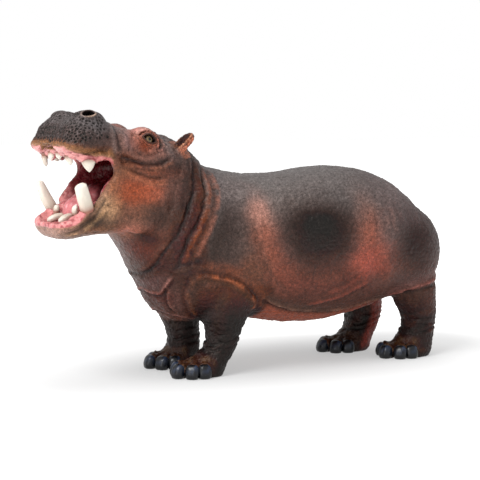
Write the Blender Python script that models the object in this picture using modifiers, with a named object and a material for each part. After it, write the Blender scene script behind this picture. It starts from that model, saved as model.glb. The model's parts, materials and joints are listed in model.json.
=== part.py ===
# Hippopotamus toy figure: a solid vinyl animal about 155 mm long, mouth wide open.
# It faces -X, its left side is -Y, +Z is up and its soles stand on Z = 0.
# The body is modelled whole from lofted forms, joined and softened, and then parted
# into head, lower jaw, neck, trunk and legs with cuts 0.3 mm wide.
import bpy, bmesh, math
import numpy as np
from mathutils import Vector, Matrix

MM = 0.001                # the sizes below are in millimetres
GAP = 0.3                 # width of a parting cut
ORIGIN = (2.062, 0.044)       # where the middle of the figure's box lies in the working frame
VOXEL = (1.1, 0.9, 0.75)  # fineness of the three joining steps
BODY_TRIS = 2400          # triangles kept on the whole body before it is parted
HEAD_TURN = (8.0, (-22.0, 0.0))   # the head is turned to its left about this point of the neck
NECK_CUT = ((-17.0, 0.0, 46.0), 21.0)    # a point of the cut and its lean from upright
HEAD_CUT = ((-33.0, 0.0, 62.0), 38.0)
JAW_CUT = ((-52.0, 0.0, 67.5), -14.0)    # a point of the cut and its slope
EYE = ((-43.7, -10.1, 82.2), 2.05)
TUSK_LOWER = ((-66.9, -10.9, 57.6), (-70.2, -12.6, 68.4), 2.3)   # root, tip, root radius
TUSK_UPPER = ((-66.4, -11.3, 78.4), (-66.6, -11.9, 71.6), 2.9)
NAIL = (2.15, 2.2, 2.7)    # reach, half width and height of a nail

# cross-sections of the barrel: x, back line, belly line, half width
BARREL = [
    (-29, 57.0, 23.4, 13.6), (-22, 65.0, 19.8, 18.2), (-12, 70.0, 18.2, 21.0), (0, 69.2, 17.8, 22.8),
    (12, 69.4, 15.7, 24.3), (24, 70.8, 14.9, 25.3), (36, 71.5, 16.0, 25.8), (48, 70.0, 18.9, 25.6),
    (57, 66.6, 21.6, 24.6), (65.5, 60.5, 24.4, 22.2), (72, 54.2, 26.4, 18.4), (76.6, 48.0, 29.0, 13.2), (79.6, 41.6, 32.5, 7.0)]
# tilted cross-sections: x, z, tilt, half width, height above and below the centre
NECK = [
    (4, 44, 4, 21.3, 24.5, 25.6), (-7, 44.5, 14, 21.8, 25.6, 27.6), (-19.5, 47.5, 23, 20.6, 25.6, 29.6),
    (-28.5, 55, 31, 18.6, 21.2, 24.0), (-36, 62.5, 33, 16.8, 18.4, 20.0), (-42, 67, 33, 15.0, 16.5, 18.0)]
SKULL = [
    (-25, 67.2, 28, 13.5, 9.2, 12), (-33, 72.2, 25, 15.0, 10, 13), (-41.5, 75.3, 22, 14.2, 8.8, 10), (-49, 78, 18, 13.6, 7.6, 6.4),
    (-55, 80.4, 14, 14.0, 6.6, 5.0), (-61.5, 82.0, 9, 14.6, 7.4, 5.2), (-67.6, 82.4, 4, 14.9, 6.9, 5.2),
    (-71.5, 81.6, 0, 14.4, 5.6, 4.4), (-73.8, 80.9, 0, 12.6, 4.2, 3.6), (-75.2, 80.3, 0, 10.2, 2.8, 2.4), (-75.9, 80.0, 0, 6.8, 1.4, 1.2)]
JAW = [
    (-41, 63, -8, 14.6, 8, 13), (-50, 61, -20, 14.6, 9, 10.8), (-58, 58.2, -26, 14.3, 6.2, 8.6),
    (-65, 56.4, -26, 14.0, 4.9, 6.6), (-70, 54.8, -26, 13.4, 4.6, 5.4), (-73.6, 53.9, -24, 11.8, 3.8, 4.8), (-75.6, 53.4, -22, 9.2, 2.8, 3.6), (-76.6, 53.2, -20, 6.0, 1.5, 2.0)]
CHEEK = [
    (-32, 67, 20, 15.8, 13, 16), (-45, 68, 16, 15.4, 10.5, 14), (-53, 69.0, 8, 14.0, 8.4, 11.5), (-57.4, 69.2, 2, 13.0, 7.2, 9.0)]
GULLET = [
    (-47.5, 71.2, 20, 5.5, 3.0, 3.0), (-50.5, 70.8, 16, 8.6, 4.6, 6.0), (-54.5, 70.3, 8, 10.4, 6.4, 8.4),
    (-66, 69.2, 4, 11.4, 9.2, 11.0)]
# legs, from the top down: x, y, z, half width, reach to the rear, reach to the front
LEGS = {
    "leg_front_left": [(-9, -13.5, 36, 8.2, 11, 11), (-10.6, -12.6, 27, 8.0, 9.4, 9.6), (-12.2, -11.6, 20, 7.4, 8.0, 8.2),
                   (-12.2, -10.6, 14.7, 6.5, 6.1, 6.3), (-13.0, -10.2, 10.4, 6.2, 5.8, 6.0), (-15.6, -10, 6.6, 6.5, 6.0, 7.2),
                   (-17.8, -10, 3.2, 6.7, 6.2, 8.0), (-18.2, -10, 0, 6.3, 5.2, 8.0)],
    "leg_front_right": [(-12, 13.5, 36, 8.2, 11, 12), (-16.5, 12.6, 27, 8.0, 9.6, 10.2), (-18.6, 11.2, 20, 7.4, 8.0, 8.0),
                    (-18.6, 10.4, 14.7, 6.5, 6.4, 6.2), (-17.8, 10.2, 10.4, 6.2, 6.0, 5.6), (-18.4, 10, 6.6, 6.5, 6.2, 6.0),
                    (-19.6, 10, 3.2, 6.7, 6.8, 7.2), (-19.4, 10, 0, 6.3, 6.2, 7.4)],
    "leg_hind_left": [(64, -13, 36, 8.6, 10.0, 11.0), (66.8, -12.6, 27, 8.3, 7.8, 9.4), (68.2, -12, 21, 7.8, 7.3, 8.4),
                  (69.9, -11.4, 16, 7.0, 6.2, 7.2), (70.3, -11, 11.4, 6.6, 5.6, 6.6), (69.2, -11, 7.6, 6.8, 6.2, 7.6),
                  (67.8, -11, 3.4, 6.9, 6.8, 9.0), (67.4, -11, 0, 6.5, 6.2, 9.0)],
    "leg_hind_right": [(57, 13, 36, 8.6, 11.5, 11), (58, 12.6, 27, 8.3, 10.0, 9.6), (59, 11.8, 19, 7.6, 8.1, 7.6),
                   (59.3, 10.8, 13.4, 6.8, 7.3, 6.8), (57.4, 10.2, 9.2, 6.5, 6.8, 6.2), (55.4, 10, 6.0, 6.6, 7.0, 6.8),
                   (54.2, 10, 3.0, 6.8, 7.0, 7.8), (53.6, 10, 0, 6.4, 6.4, 7.8)]}
# the cylinder that each leg is parted by: x, y, half length, half width, height, lean of its top
LEG_CUT = {
    "leg_front_left": (-11.5, -13.5, 12.5, 12.5, 27.0, 26), "leg_front_right": (-16.5, 13.5, 13.0, 12.5, 27.0, -26),
    "leg_hind_left": (68.0, -13.0, 13.0, 12.0, 27.5, 22), "leg_hind_right": (58.8, 13.0, 12.5, 12.0, 27.5, -22)}
# feet: centre x, y, reach to the front, half width, directions of the four toes
FEET = {
    "leg_front_left": (-21.5, -10.0, 9.6, 6.9, (-32, 10, 46, 82)),
    "leg_front_right": (-22.2, 10.0, 9.4, 6.9, (-38, 0, 36, 72)),
    "leg_hind_left": (63.6, -11.0, 10.2, 7.0, (-32, 10, 46, 82)),
    "leg_hind_right": (50.4, 10.0, 10.2, 7.0, (-38, 0, 36, 72))}
# small front teeth: root, tip, half width, half thickness
LOWER_INCISORS = [((-66.6, 2.1, 58.0), (-73.0, 3.3, 57.2), 1.5, 1.2), ((-66.6, -2.1, 58.0), (-73.0, -3.3, 57.2), 1.5, 1.2),
                  ((-67.6, 6.4, 57.4), (-69.6, 6.9, 60.6), 1.2, 1.0), ((-67.6, -6.4, 57.4), (-69.6, -6.9, 60.6), 1.2, 1.0)]
UPPER_INCISORS = [((-71.0, 3.0, 79.2), (-71.6, 3.2, 75.4), 1.7, 1.1), ((-71.0, -3.0, 79.2), (-71.6, -3.2, 75.4), 1.7, 1.1),
                  ((-70.2, 7.6, 78.6), (-70.8, 7.9, 74.6), 1.5, 1.1), ((-70.2, -7.6, 78.6), (-70.8, -7.9, 74.6), 1.5, 1.1)]

PAINT = {  # colour, roughness
    "hide_brown": ((0.100, 0.055, 0.042), 0.55), "hide_grey": ((0.085, 0.075, 0.072), 0.55),
    "hide_red": ((0.230, 0.085, 0.052), 0.55), "leg_brown": ((0.050, 0.028, 0.021), 0.6),
    "ivory": ((0.720, 0.640, 0.520), 0.35), "mouth_pink": ((0.560, 0.200, 0.200), 0.35),
    "nail_slate": ((0.030, 0.036, 0.047), 0.3), "eye_dark": ((0.040, 0.030, 0.020), 0.1)}

for ob in list(bpy.data.objects):
    bpy.data.objects.remove(ob, do_unlink=True)
figure = bpy.data.collections.new("hippopotamus")
cutters = bpy.data.collections.new("cutters")
bpy.context.scene.collection.children.link(figure)
bpy.context.scene.collection.children.link(cutters)


def paint(name):
    mat = bpy.data.materials.get(name)
    if mat is None:
        mat = bpy.data.materials.new(name)
        mat.use_nodes = True
        bsdf = mat.node_tree.nodes["Principled BSDF"]
        bsdf.inputs["Base Color"].default_value = PAINT[name][0] + (1.0,)
        bsdf.inputs["Roughness"].default_value = PAINT[name][1]
        bsdf.inputs["Metallic"].default_value = 0.0
    return mat


def through(rows, n):
    """n rows on a smooth curve through the given rows, the first three numbers of each being a place."""
    P = np.array(rows, float)
    d = np.concatenate([[0.0], np.cumsum(np.linalg.norm(np.diff(P[:, :3], axis=0), axis=1))])
    h = np.diff(d)
    s = np.diff(P, axis=0) / h[:, None]
    T = np.zeros_like(P)
    T[0], T[-1] = s[0], s[-1]
    for i in range(1, len(P) - 1):
        T[i] = (h[i] * s[i - 1] + h[i - 1] * s[i]) / (h[i - 1] + h[i])
    u = np.linspace(0, d[-1], n)
    k = np.clip(np.searchsorted(d, u, side="right") - 1, 0, len(P) - 2)
    t, hk = ((u - d[k]) / h[k])[:, None], h[k][:, None]
    return ((2 * t**3 - 3 * t**2 + 1) * P[k] + (t**3 - 2 * t**2 + t) * hk * T[k]
            + (-2 * t**3 + 3 * t**2) * P[k + 1] + (t**3 - t**2) * hk * T[k + 1])


def head_matrix():
    """The turn of the head about its point of the neck."""
    a, (px, py) = HEAD_TURN
    P = Matrix.Translation(Vector((px, py, 0)))
    return P @ Matrix.Rotation(math.radians(a), 4, 'Z') @ P.inverted()


def oval(hw, up, dn, ex, n):
    a = np.linspace(0, 2 * math.pi, n, endpoint=False)
    c, s = np.cos(a), np.sin(a)
    return hw * np.sign(c) * np.abs(c) ** (2 / ex), np.where(s >= 0, up, dn) * np.sign(s) * np.abs(s) ** (2 / ex)


def loft(bm, rings, M=Matrix()):
    """A closed skin over rings of points, with its two ends filled."""
    vs = [[bm.verts.new(M @ Vector(p)) for p in R] for R in rings]
    n = len(vs[0])
    for a, b in zip(vs[:-1], vs[1:]):
        for i in range(n):
            bm.faces.new((a[i], a[(i + 1) % n], b[(i + 1) % n], b[i]))
    for R, last in ((vs[0], False), (vs[-1], True)):
        mid = bm.verts.new(sum((v.co for v in R), Vector()) / n)
        for i in range(n):
            j = (i + 1) % n
            bm.faces.new((R[i], R[j], mid) if last else (R[j], R[i], mid))


def tube(bm, rows, steps, n=32, ex=2.3, M=Matrix(), grow=0.0):
    """A loft over tilted sections."""
    rings = []
    for x, _, z, tilt, hw, up, dn in through([(r[0], 0.0) + tuple(r[1:]) for r in rows], steps):
        y, h = oval(hw + grow, up + grow, dn + grow, ex, n)
        t = math.radians(tilt)
        rings.append(np.stack([x + h * math.sin(t), y, z + h * math.cos(t)], 1))
    loft(bm, rings, M)


def barrel(bm, steps=40, n=40, ex=2.3, low=0.46):
    rows = [(x, 0.0, bot + low * (top - bot), hw, (1 - low) * (top - bot), low * (top - bot)) for x, top, bot, hw in BARREL]
    rings = []
    for x, _, z, hw, up, dn in through(rows, steps):
        y, h = oval(hw, up, dn, ex, n)
        rings.append(np.stack([x + 0 * y, y, z + h], 1))
    loft(bm, rings)


def leg(bm, rows, steps=20, n=24, ex=2.2):
    rings = []
    for x, y0, z, hw, back, front in through(rows, steps):
        y, h = oval(hw, back, front, ex, n)
        rings.append(np.stack([x + h, y0 + y, z + 0 * y], 1))
    loft(bm, rings)


def spin(rot):
    return (Matrix.Rotation(math.radians(rot[2]), 4, 'Z') @ Matrix.Rotation(math.radians(rot[1]), 4, 'Y')
            @ Matrix.Rotation(math.radians(rot[0]), 4, 'X'))


def ball(bm, c, r, rot=(0, 0, 0), M=Matrix(), seg=20, ring=12):
    if not isinstance(r, tuple):
        r = (r, r, r)
    bmesh.ops.create_uvsphere(bm, u_segments=seg, v_segments=ring, radius=1.0,
                              matrix=M @ Matrix.Translation(Vector(c)) @ spin(rot) @ Matrix.Diagonal(r + (1,)))


def both(bm, c, r, rot=(0, 0, 0), M=Matrix()):
    ball(bm, c, r, rot, M)
    ball(bm, (c[0], -c[1], c[2]), r, (-rot[0], rot[1], -rot[2]), M)


def horn(bm, root, tip, r, flat=1.0, bow=0.0, power=0.55, steps=7, n=8, M=Matrix(), back=0.0):
    """A tooth: round at the root, tapering along a slightly bowed axis to a blunt tip."""
    a, b = Vector(root), Vector(tip)
    axis = (b - a).normalized()
    side = Vector((0, 1, 0)).cross(axis).normalized()
    out = axis.cross(side)
    rings = []
    for i in range(steps):
        t = i / (steps - 1)
        w = r * max(1 - (max(t - 0.02, 0) / 0.98) ** 2, 0.0) ** power * (1 - 0.12 * t) + 0.18
        c = a - axis * back + (b - a + axis * back) * t + out * (bow * math.sin(math.pi * t)) * (1 if a.y > 0 else -1)
        rings.append([c + side * (w * math.cos(k)) + out * (w * flat * math.sin(k)) for k in np.linspace(0, 2 * math.pi, n, endpoint=False)])
    loft(bm, rings, M)


def new_object(bm, name, collection, mat=None):
    bmesh.ops.recalc_face_normals(bm, faces=bm.faces)
    me = bpy.data.meshes.new(name)
    bm.to_mesh(me)
    bm.free()
    ob = bpy.data.objects.new(name, me)
    collection.objects.link(ob)
    if mat:
        me.materials.append(paint(mat))
    if collection is cutters:
        ob.hide_render = True
        ob.display_type = 'WIRE'
    return ob


def settle(ob):
    """Make the object's modifiers part of its mesh."""
    dg = bpy.context.evaluated_depsgraph_get()
    dg.update()
    me = bpy.data.meshes.new_from_object(ob.evaluated_get(dg))
    ob.modifiers.clear()
    old, ob.data = ob.data, me
    bpy.data.meshes.remove(old)
    return ob


def soften(ob, voxel, smooth):
    """Join overlapping forms into one skin and smooth the joins."""
    m = ob.modifiers.new("join", 'REMESH')
    m.mode = 'VOXEL'
    m.voxel_size = voxel
    s = ob.modifiers.new("soften", 'SMOOTH')
    s.factor, s.iterations = 0.5, smooth
    return settle(ob)


def cut(ob, cutter, operation='DIFFERENCE'):
    m = ob.modifiers.new(cutter.name, 'BOOLEAN')
    m.operation, m.object, m.solver = operation, cutter, 'EXACT'
    return settle(ob)


def copy_of(ob, name, collection, mat=None):
    me = ob.data.copy()
    me.name = name
    out = bpy.data.objects.new(name, me)
    collection.objects.link(out)
    if mat:
        me.materials.clear()
        me.materials.append(paint(mat))
    return out


def largest(ob):
    """Keep only the largest closed body of the mesh, with clean triangles."""
    bm = bmesh.new()
    bm.from_mesh(ob.data)
    bmesh.ops.remove_doubles(bm, verts=bm.verts, dist=0.004)
    bmesh.ops.dissolve_degenerate(bm, edges=bm.edges, dist=0.004)
    bmesh.ops.triangulate(bm, faces=bm.faces)
    bm.verts.ensure_lookup_table()
    seen, groups = set(), []
    for v in bm.verts:
        if v.index in seen:
            continue
        seen.add(v.index)
        stack, group = [v], []
        while stack:
            a = stack.pop()
            group.append(a)
            for e in a.link_edges:
                b = e.other_vert(a)
                if b.index not in seen:
                    seen.add(b.index)
                    stack.append(b)
        groups.append(group)
    groups.sort(key=len, reverse=True)
    for g in groups[1:]:
        bmesh.ops.delete(bm, geom=g, context='VERTS')
    bmesh.ops.recalc_face_normals(bm, faces=bm.faces)
    bm.to_mesh(ob.data)
    bm.free()
    return ob


def toes(name):
    """Angle, place and outward direction of each toe."""
    xc, yc, reach, hw, angles = FEET[name]
    for a in angles:
        t = math.radians(a)
        ux, uy = -math.cos(t), -math.sin(t)
        R = 1 / math.sqrt((math.cos(t) / reach) ** 2 + (math.sin(t) / hw) ** 2)
        yield (xc + ux * R, yc + uy * R), (ux, uy)


TURN = head_matrix()

# ------------------------------------------------------------------ the whole body
bm = bmesh.new()
ball(bm, (-9, -13.5, 43), (14.5, 8.6, 22), (0, 8, 0))       # shoulders
ball(bm, (-11, 13.5, 43), (14.5, 8.6, 22), (0, 8, 0))
ball(bm, (60.6, -12.4, 40), (16.2, 12.2, 17.2), (0, -6, 0))  # thighs
ball(bm, (58.2, 12.4, 40), (16.2, 12.2, 17.2), (0, -2, 0))
barrel(bm)
tube(bm, NECK, 28)
masses = soften(new_object(bm, "masses", cutters), VOXEL[0], 20)

bm = bmesh.new()
both(bm, (-66.2, -6.8, 82.8), (8.5, 8.3, 6.8), (0, 8, 0), TURN)      # muzzle
both(bm, (-68.9, -9.0, 80.4), (7.2, 6.4, 3.5), (0, 0, 0), TURN)      # lobes of the upper lip
both(bm, (-64.2, -7.6, 87.2), (6.2, 5.0, 4.4), (0, 16, 0), TURN)     # nostril mounds
both(bm, (-44.0, -8.3, 81.7), (6.2, 4.2, 4.9), (0, 20, 0), TURN)     # brows
ball(bm, (-34.0, 0, 77.6), (7.5, 10, 6.0), (0, 20, 0), TURN)         # crown
both(bm, (-46.5, -10.6, 61.5), (12.0, 5.0, 11.0), (0, 20, 0), TURN)  # jowls
both(bm, (-57.0, -11.2, 64.5), (5.0, 2.6, 6.0), (0, 30, 0), TURN)    # corners of the mouth
for name, rows in LEGS.items():
    xc, yc, reach, hw, _ = FEET[name]
    ball(bm, (xc + 0.5, yc, 1.6), (reach - 1.6, hw - 0.7, 5.2))
    for (x, y), (ux, uy) in toes(name):
        ball(bm, (x - ux * 2.4, y - uy * 2.4, 2.4), (3.3, 2.5, 3.1), (0, 0, math.degrees(math.atan2(uy, ux))), seg=12, ring=8)
tube(bm, SKULL, 30, ex=2.3, M=TURN)
tube(bm, JAW, 24, ex=2.5, M=TURN)
tube(bm, CHEEK, 16, ex=2.3, M=TURN)
for rows in LEGS.values():
    leg(bm, rows)
bmesh.ops.recalc_face_normals(bm, faces=bm.faces)
bm.from_mesh(masses.data)
me = bpy.data.meshes.new("whole")
bm.to_mesh(me)
bm.free()
whole = bpy.data.objects.new("whole", me)
cutters.objects.link(whole)
soften(whole, VOXEL[1], 5)

bm = bmesh.new()
tube(bm, GULLET, 20, ex=2.2, M=TURN)
gullet = new_object(bm, "gullet", cutters)
cut(whole, gullet)
for i, (c, r, rot) in enumerate((((-64.5, 0, 74.4), (11.0, 10.8, 5.2), (0, 4, 0)), ((-75.8, 0, 76.6), (5.4, 7.4, 4.2), (0, 0, 0)),
                                 ((-69.2, 0, 61.0), (9.6, 10.8, 4.9), (0, -31, 0)))):   # palate, arch of the upper lip, dish of the jaw
    bm = bmesh.new()
    ball(bm, c, r, rot, TURN)
    cut(whole, new_object(bm, "mouth" + str(i), cutters))
bm = bmesh.new()
both(bm, (-64.9, -8.4, 91.0), (2.4, 1.3, 2.6), (18, 28, 0), TURN)
cut(whole, new_object(bm, "nostrils", cutters))
soften(whole, VOXEL[2], 3)
m = whole.modifiers.new("fewer", 'DECIMATE')
m.ratio = BODY_TRIS / (2 * len(whole.data.polygons))
settle(whole)
bm = bmesh.new()
bmesh.ops.create_cube(bm, size=1, matrix=Matrix.Translation((0, 0, -20)) @ Matrix.Diagonal((400, 200, 40, 1)))
cut(whole, new_object(bm, "ground", cutters))

# front teeth grow out of the two jaws
bm = bmesh.new()
for root, tip, w, t in LOWER_INCISORS + UPPER_INCISORS:
    horn(bm, root, tip, w, flat=t / w, steps=5, n=8, M=TURN, back=1.6)
cut(whole, new_object(bm, "incisors", cutters), 'UNION')

# ------------------------------------------------------------------ parting cuts


def leg_cylinder(name, grow, tag):
    """An upright sleeve round the leg: wide about the foot, an oval with a leaning top inside the body."""
    x, y, rx, ry, h, lean = LEG_CUT[name]
    fx, fy = FEET[name][0], FEET[name][1]
    rings = []
    for z, cx, cy, a, b, slope in ((-6.0, fx + 1, fy, 16.0, 9.4, 0.0), (9.0, fx + 1, fy, 16.0, 9.4, 0.0), (14.5, (fx + x) / 2, (fy + y) / 2, 14.5, 10.2, 0.0),
                                   (h * 0.72, x, y, rx, ry, 1.0), (h, x, y, rx * 0.86, ry * 0.86, 1.0)):
        ring = []
        for k in np.linspace(0, 2 * math.pi, 20, endpoint=False):
            dx, dy = (a + grow) * math.cos(k), (b + grow) * math.sin(k)
            ring.append((cx + dx, cy + dy, z + (grow if z > 0 else 0) - slope * dy * math.tan(math.radians(lean))))
        rings.append(ring)
    bm = bmesh.new()
    loft(bm, rings)
    return new_object(bm, tag, cutters)


def half_space(point, lean, side, shift, tag, turn=None):
    """A large block whose face is the parting plane: lean is its angle from upright about Y, side is where it lies."""
    bm = bmesh.new()
    M = Matrix.Translation(Vector(point)) @ Matrix.Rotation(math.radians(lean), 4, 'Y')
    if turn is not None:
        M = turn @ M
    bmesh.ops.create_cube(bm, size=1, matrix=M @ Matrix.Translation((side * (200 + shift), 0, 0)) @ Matrix.Diagonal((400, 300, 400, 1)))
    return new_object(bm, tag, cutters)


LEG_NAMES = list(LEGS)
rest = copy_of(whole, "rest", cutters)
for name in LEG_NAMES:
    piece = copy_of(whole, name, figure, "leg_brown")
    cut(piece, leg_cylinder(name, 0.0, name + "_inside"), 'INTERSECT')
    largest(piece)
    cut(rest, leg_cylinder(name, GAP, name + "_outside"))

trunk = copy_of(rest, "trunk", figure, "hide_grey")
cut(trunk, half_space(NECK_CUT[0], NECK_CUT[1], 1, GAP / 2, "behind_neck_cut"), 'INTERSECT')
neck = copy_of(rest, "neck", figure, "hide_brown")
cut(neck, half_space(NECK_CUT[0], NECK_CUT[1], -1, GAP / 2, "before_neck_cut"), 'INTERSECT')
cut(neck, half_space(HEAD_CUT[0], HEAD_CUT[1], 1, GAP / 2, "behind_head_cut", TURN), 'INTERSECT')
front = copy_of(rest, "front", cutters)
cut(front, half_space(HEAD_CUT[0], HEAD_CUT[1], -1, GAP / 2, "before_head_cut", TURN), 'INTERSECT')
jaw_turn = 90 - JAW_CUT[1]
head = copy_of(front, "head", figure, "hide_red")
cut(head, half_space(JAW_CUT[0], -jaw_turn, 1, GAP / 2, "above_jaw_cut", TURN), 'INTERSECT')
jaw = copy_of(front, "lower_jaw", figure, "hide_brown")
cut(jaw, half_space(JAW_CUT[0], -jaw_turn, -1, GAP / 2, "below_jaw_cut", TURN), 'INTERSECT')

# ------------------------------------------------------------------ eyes, ears, tusks, tongue, tail, nails
sides = (("left", 1), ("right", -1))


def flip(p, s):
    return (p[0], p[1] * s, p[2])


for side, s in sides:
    c, r = EYE
    bm = bmesh.new()
    ball(bm, flip(c, s), r, M=TURN, seg=10, ring=7)
    new_object(bm, "eye_" + side, figure, "eye_dark")
    bm = bmesh.new()
    ball(bm, flip(c, s), r + GAP, M=TURN, seg=10, ring=7)
    cut(head, new_object(bm, "socket_" + side, cutters))


def ear_shape(bm, s, grow=0.0):
    """A leaf-shaped ear, leaning out, up and back."""
    M = (TURN @ Matrix.Translation(Vector(flip((-31.2, -12.9, 80.2), s)))
         @ Matrix.Rotation(math.radians(-34 * -s), 4, 'Z') @ Matrix.Rotation(math.radians(40 * s), 4, 'X') @ Matrix.Rotation(math.radians(22), 4, 'Y'))
    ball(bm, (0, 0, 0), (1.7 + grow, 2.9 + grow, 4.8 + grow), M=M, seg=12, ring=8)
    return M


for side, s in sides:
    bm = bmesh.new()
    M = ear_shape(bm, s)
    ear = new_object(bm, "ear_" + side, figure, "hide_brown")
    bm = bmesh.new()
    ball(bm, (-1.5, 0, 1.2), (1.6, 1.9, 3.2), M=M, seg=10, ring=6)
    cut(ear, new_object(bm, "ear_hollow_" + side, cutters))
    # the ear's foot is seated in the head
    seat = copy_of(front, "seat_" + side, cutters)
    cut(ear, seat)
    bm = bmesh.new()
    ear_shape(bm, s, GAP)
    cut(head, new_object(bm, "ear_seat_" + side, cutters))

for side, s in sides:
    for name, (root, tip, r), body_node, flat in (("tusk_lower_", TUSK_LOWER, jaw, 0.72), ("tusk_upper_", TUSK_UPPER, head, 0.62)):
        bm = bmesh.new()
        horn(bm, flip(root, s), flip(tip, s), r, flat=flat, bow=0.5, M=TURN, power=0.5 if name == "tusk_lower_" else 0.9)
        new_object(bm, name + side, figure, "ivory")
        bm = bmesh.new()
        horn(bm, flip(root, s), flip(tip, s), r + GAP, flat=(r * flat + GAP) / (r + GAP), bow=0.5, M=TURN,
             power=0.5 if name == "tusk_lower_" else 0.9, back=GAP)
        cut(body_node, new_object(bm, name + side + "_socket", cutters))

bm = bmesh.new()
ball(bm, (-61.5, 0, 60.6), (8.2, 5.0, 2.4), (0, -28, 0), TURN, seg=14, ring=8)
tongue = new_object(bm, "tongue", figure, "mouth_pink")
bm = bmesh.new()
ball(bm, (-61.5, 0, 60.6), (8.2 + GAP, 5.0 + GAP, 2.4 + GAP), (0, -28, 0), TURN, seg=14, ring=8)
cut(jaw, new_object(bm, "tongue_bed", cutters))

bm = bmesh.new()
tail_rows = [(74.6, 0, 51.0, 2.4, 1.4, 3.0), (77.2, 0, 47.5, 2.3, 1.3, 3.0), (79.2, 0, 43.0, 2.2, 1.1, 2.6), (80.0, 0, 38.6, 2.0, 0.9, 1.8), (80.2, 0, 35.0, 1.3, 0.6, 0.9)]
leg(bm, tail_rows, steps=8, n=12)
tail = new_object(bm, "tail", figure, "hide_brown")
bm = bmesh.new()
leg(bm, [(r[0], r[1], r[2] + (0.3 if i == 0 else (-0.3 if i == len(tail_rows) - 1 else 0)), r[3] + GAP, r[4] + GAP, r[5] + GAP) for i, r in enumerate(tail_rows)], steps=8, n=12)
cut(trunk, new_object(bm, "tail_seat", cutters))

for name in LEG_NAMES:
    leg_ob = bpy.data.objects[name]
    for i, ((x, y), (ux, uy)) in enumerate(toes(name)):
        tag = "nail_" + name[4:] + "_" + str(i + 1)
        M = (Matrix.Translation((x - ux * 0.9, y - uy * 0.9, 2.3)) @ Matrix.Rotation(math.atan2(uy, ux), 4, 'Z')
             @ Matrix.Rotation(math.radians(-24), 4, 'Y'))
        bm = bmesh.new()
        ball(bm, (0, 0, 0), NAIL, M=M, seg=8, ring=5)
        nail = new_object(bm, tag, figure, "nail_slate")
        bm = bmesh.new()
        bmesh.ops.create_cube(bm, size=1, matrix=Matrix.Translation((0, 0, -20 + 0.15)) @ Matrix.Diagonal((400, 200, 40, 1)))
        cut(nail, new_object(bm, tag + "_floor", cutters))
        bm = bmesh.new()
        ball(bm, (0, 0, 0), tuple(v + GAP for v in NAIL), M=M, seg=8, ring=5)
        cut(leg_ob, new_object(bm, tag + "_bed", cutters))

for ob in list(figure.objects):
    largest(ob)
    for v in ob.data.vertices:
        v.co = Vector(((v.co.x - ORIGIN[0]) * MM, (v.co.y - ORIGIN[1]) * MM, v.co.z * MM))
    ob.data.shade_smooth()
    ob.data.set_sharp_from_angle(angle=math.radians(50))
for ob in list(cutters.objects):
    bpy.data.objects.remove(ob, do_unlink=True)
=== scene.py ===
import bpy, bmesh, math, json
import numpy as np
from mathutils import Vector, Matrix
from mathutils.bvhtree import BVHTree
from mathutils.kdtree import KDTree

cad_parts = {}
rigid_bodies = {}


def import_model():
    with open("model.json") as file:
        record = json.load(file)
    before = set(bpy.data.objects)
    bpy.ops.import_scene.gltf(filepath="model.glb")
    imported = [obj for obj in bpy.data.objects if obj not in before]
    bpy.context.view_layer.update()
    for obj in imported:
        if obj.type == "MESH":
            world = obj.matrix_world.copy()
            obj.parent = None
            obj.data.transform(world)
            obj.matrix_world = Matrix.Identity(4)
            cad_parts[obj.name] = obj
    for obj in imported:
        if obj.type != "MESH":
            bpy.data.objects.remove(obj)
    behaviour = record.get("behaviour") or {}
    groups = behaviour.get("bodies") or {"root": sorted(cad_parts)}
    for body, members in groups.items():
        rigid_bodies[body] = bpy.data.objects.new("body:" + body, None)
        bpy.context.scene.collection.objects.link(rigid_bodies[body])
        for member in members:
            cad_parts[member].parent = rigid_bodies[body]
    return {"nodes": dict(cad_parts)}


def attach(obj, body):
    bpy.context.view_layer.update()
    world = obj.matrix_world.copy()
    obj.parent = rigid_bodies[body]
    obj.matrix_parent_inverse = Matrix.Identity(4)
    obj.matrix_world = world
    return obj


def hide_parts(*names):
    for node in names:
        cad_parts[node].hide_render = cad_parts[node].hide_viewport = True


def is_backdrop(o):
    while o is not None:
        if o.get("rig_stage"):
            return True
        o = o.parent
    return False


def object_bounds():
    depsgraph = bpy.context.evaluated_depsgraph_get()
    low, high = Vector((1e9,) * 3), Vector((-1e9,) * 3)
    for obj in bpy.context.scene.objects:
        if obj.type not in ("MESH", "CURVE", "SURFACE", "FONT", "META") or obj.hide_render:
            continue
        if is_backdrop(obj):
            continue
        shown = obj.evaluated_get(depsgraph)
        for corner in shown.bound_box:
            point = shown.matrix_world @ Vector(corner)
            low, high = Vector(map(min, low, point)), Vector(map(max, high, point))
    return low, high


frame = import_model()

cad_box = [list(map(float, v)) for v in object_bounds()]
ORIGIN = (2.062, 0.044)
HEAD_TURN = (8.0, (-22.0, 0.0))
EYE = ((-42.3, -9.9, 82.1), 2.0)
VOXEL = (1.0, 0.7, 0.34)
SC = bpy.context.scene
WORK = bpy.data.collections.new("work")
SC.collection.children.link(WORK)

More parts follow.
